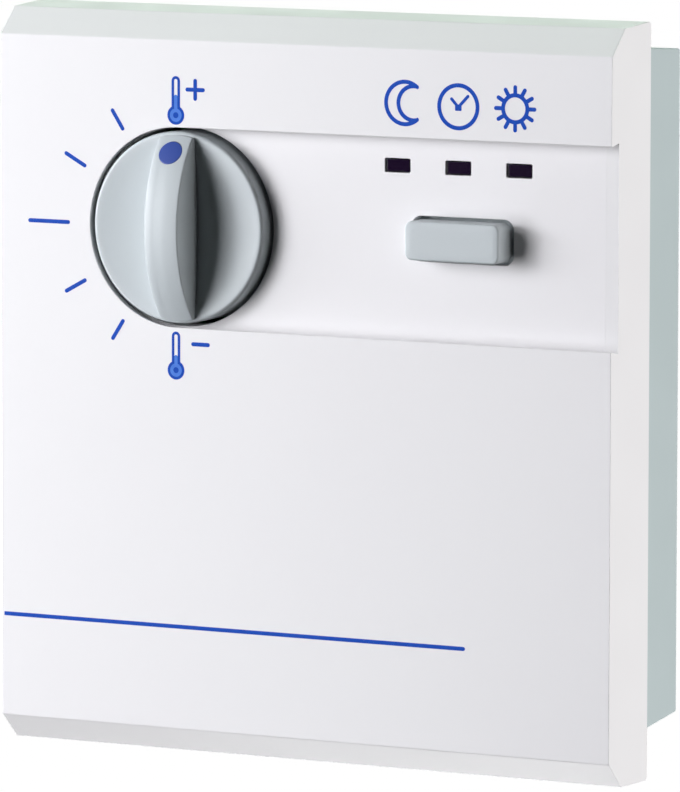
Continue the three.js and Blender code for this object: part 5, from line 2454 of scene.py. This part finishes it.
@dataclass
class Studio:
    """A plain pale floor, soft lights and the camera."""

    target_depth: float
    azimuth: float = 27.93
    elevation: float = 6.6
    roll: float = -0.08
    distance: float = 1064.7
    shift_right: float = 5.34
    shift_up: float = -0.30
    focal_pixels: float = 7998.0
    long_side_pixels: float = 792.0
    floor_drop: float = 1500.0

    def camera(self) -> None:
        """Makes the camera at the viewing angle."""
        az, el, roll = (math.radians(a) for a in (self.azimuth, self.elevation, self.roll))
        back = Vector((math.sin(az) * math.cos(el), -math.cos(az) * math.cos(el), math.sin(el)))
        level = Vector((math.cos(az), math.sin(az), 0.0))
        rise = back.cross(level)
        right = level * math.cos(roll) - rise * math.sin(roll)
        up = level * math.sin(roll) + rise * math.cos(roll)
        data = bpy.data.cameras.new("camera")
        data.sensor_width = 36.0
        data.lens = self.focal_pixels / self.long_side_pixels * data.sensor_width
        data.clip_start, data.clip_end = 0.05, 60.0
        target = Vector((0.0, -self.target_depth, 0.0))
        place = target + back * self.distance + right * self.shift_right + up * self.shift_up
        camera = bpy.data.objects.new("camera", data)
        bpy.context.scene.collection.objects.link(camera)
        turn = Matrix((right, up, back)).transposed().to_4x4()
        camera.matrix_world = Matrix.Translation(place * MM) @ turn
        bpy.context.scene.camera = camera

    def light(self, lamp: Lamp) -> None:
        """Adds a soft rectangular light that looks at the object.

        Args:
            lamp: The light.
        """
        data = bpy.data.lights.new(lamp.name, "AREA")
        data.shape = "RECTANGLE"
        data.size, data.size_y = lamp.width, lamp.height
        data.energy = lamp.power
        data.color = linear(lamp.tint)[:3]
        thing = bpy.data.objects.new(lamp.name, data)
        bpy.context.scene.collection.objects.link(thing)
        az, el = math.radians(lamp.azimuth), math.radians(lamp.elevation)
        away = Vector((math.sin(az) * math.cos(el), -math.cos(az) * math.cos(el), math.sin(el)))
        turn = away.to_track_quat("Z", "Y").to_matrix().to_4x4()
        thing.matrix_world = Matrix.Translation(away * lamp.distance) @ turn

    def floor(self) -> None:
        """A pale floor far below, so that no shadow of the hung object shows on it."""
        bm = bmesh.new()
        bmesh.ops.create_grid(bm, x_segments=1, y_segments=1, size=20000)
        floor = new_object("studio_floor", bm)
        floor.location.z = -self.floor_drop * MM
        material = bpy.data.materials.new("studio_floor")
        material.use_nodes = True
        tree = material.node_tree
        tree.nodes.clear()
        shader = add_node(
            tree,
            "ShaderNodeBsdfPrincipled",
            {"Base Color": linear("#f6f6f6"), "Roughness": 0.9,
             "Emission Color": (1.0, 1.0, 1.0, 1.0), "Emission Strength": 1.0},
        )
        add_node(tree, "ShaderNodeOutputMaterial", {}, {"Surface": shader.outputs[0]})
        floor.data.materials.append(material)
        floor.visible_diffuse = False
        floor.visible_glossy = False

    def world(self) -> None:
        """A white surround that is seen but gives no light."""
        world = bpy.data.worlds.new("surround")
        world.use_nodes = True
        background = world.node_tree.nodes["Background"]
        background.inputs["Color"].default_value = linear("#ffffff")
        background.inputs["Strength"].default_value = 1.0
        world.cycles_visibility.diffuse = False
        world.cycles_visibility.glossy = False
        bpy.context.scene.world = world

    def build(self) -> None:
        """Sets the studio up."""
        self.camera()
        self.floor()
        self.world()
        for lamp in LAMPS:
            self.light(lamp)
        scene = bpy.context.scene
        scene.view_settings.view_transform = "Standard"
        scene.view_settings.look = "None"


def main() -> None:
    """Builds the thermostat's looks, then the studio."""
    logging.basicConfig(level=logging.INFO, format="%(name)s: %(message)s")
    cover, base, panel = box_of("front_cover"), box_of("wall_base"), box_of("control_panel")
    knob, button, board = box_of("setpoint_knob"), box_of("mode_button"), box_of("circuit_board")
    windows = [box_of(f"led_window_{side}") for side in ("left", "middle", "right")]
    opening = ControlOpening(knob.x, knob.z, knob.width / 2 + DIAL_GAP)
    CoverShell(cover, opening).build(base)
    board_screws = [box_of(f"board_screw_{i}") for i in range(1, 5)]
    WallBase(base, cover.back, board, board_screws).build()
    PanelFace(panel, opening, windows, button, board).build()
    SetpointKnob(knob, cover.front, box_of("potentiometer_shaft")).build()
    ModeButton(button, panel.front - PanelFace.thickness).build()
    IndicatorLenses(windows).build()
    PrintedMarks(cover.front, cover.left, knob.x, knob.z).build()
    Electronics(board, board_screws).build()
    Studio(cover.front).build()


if __name__ == "__main__":
    main()
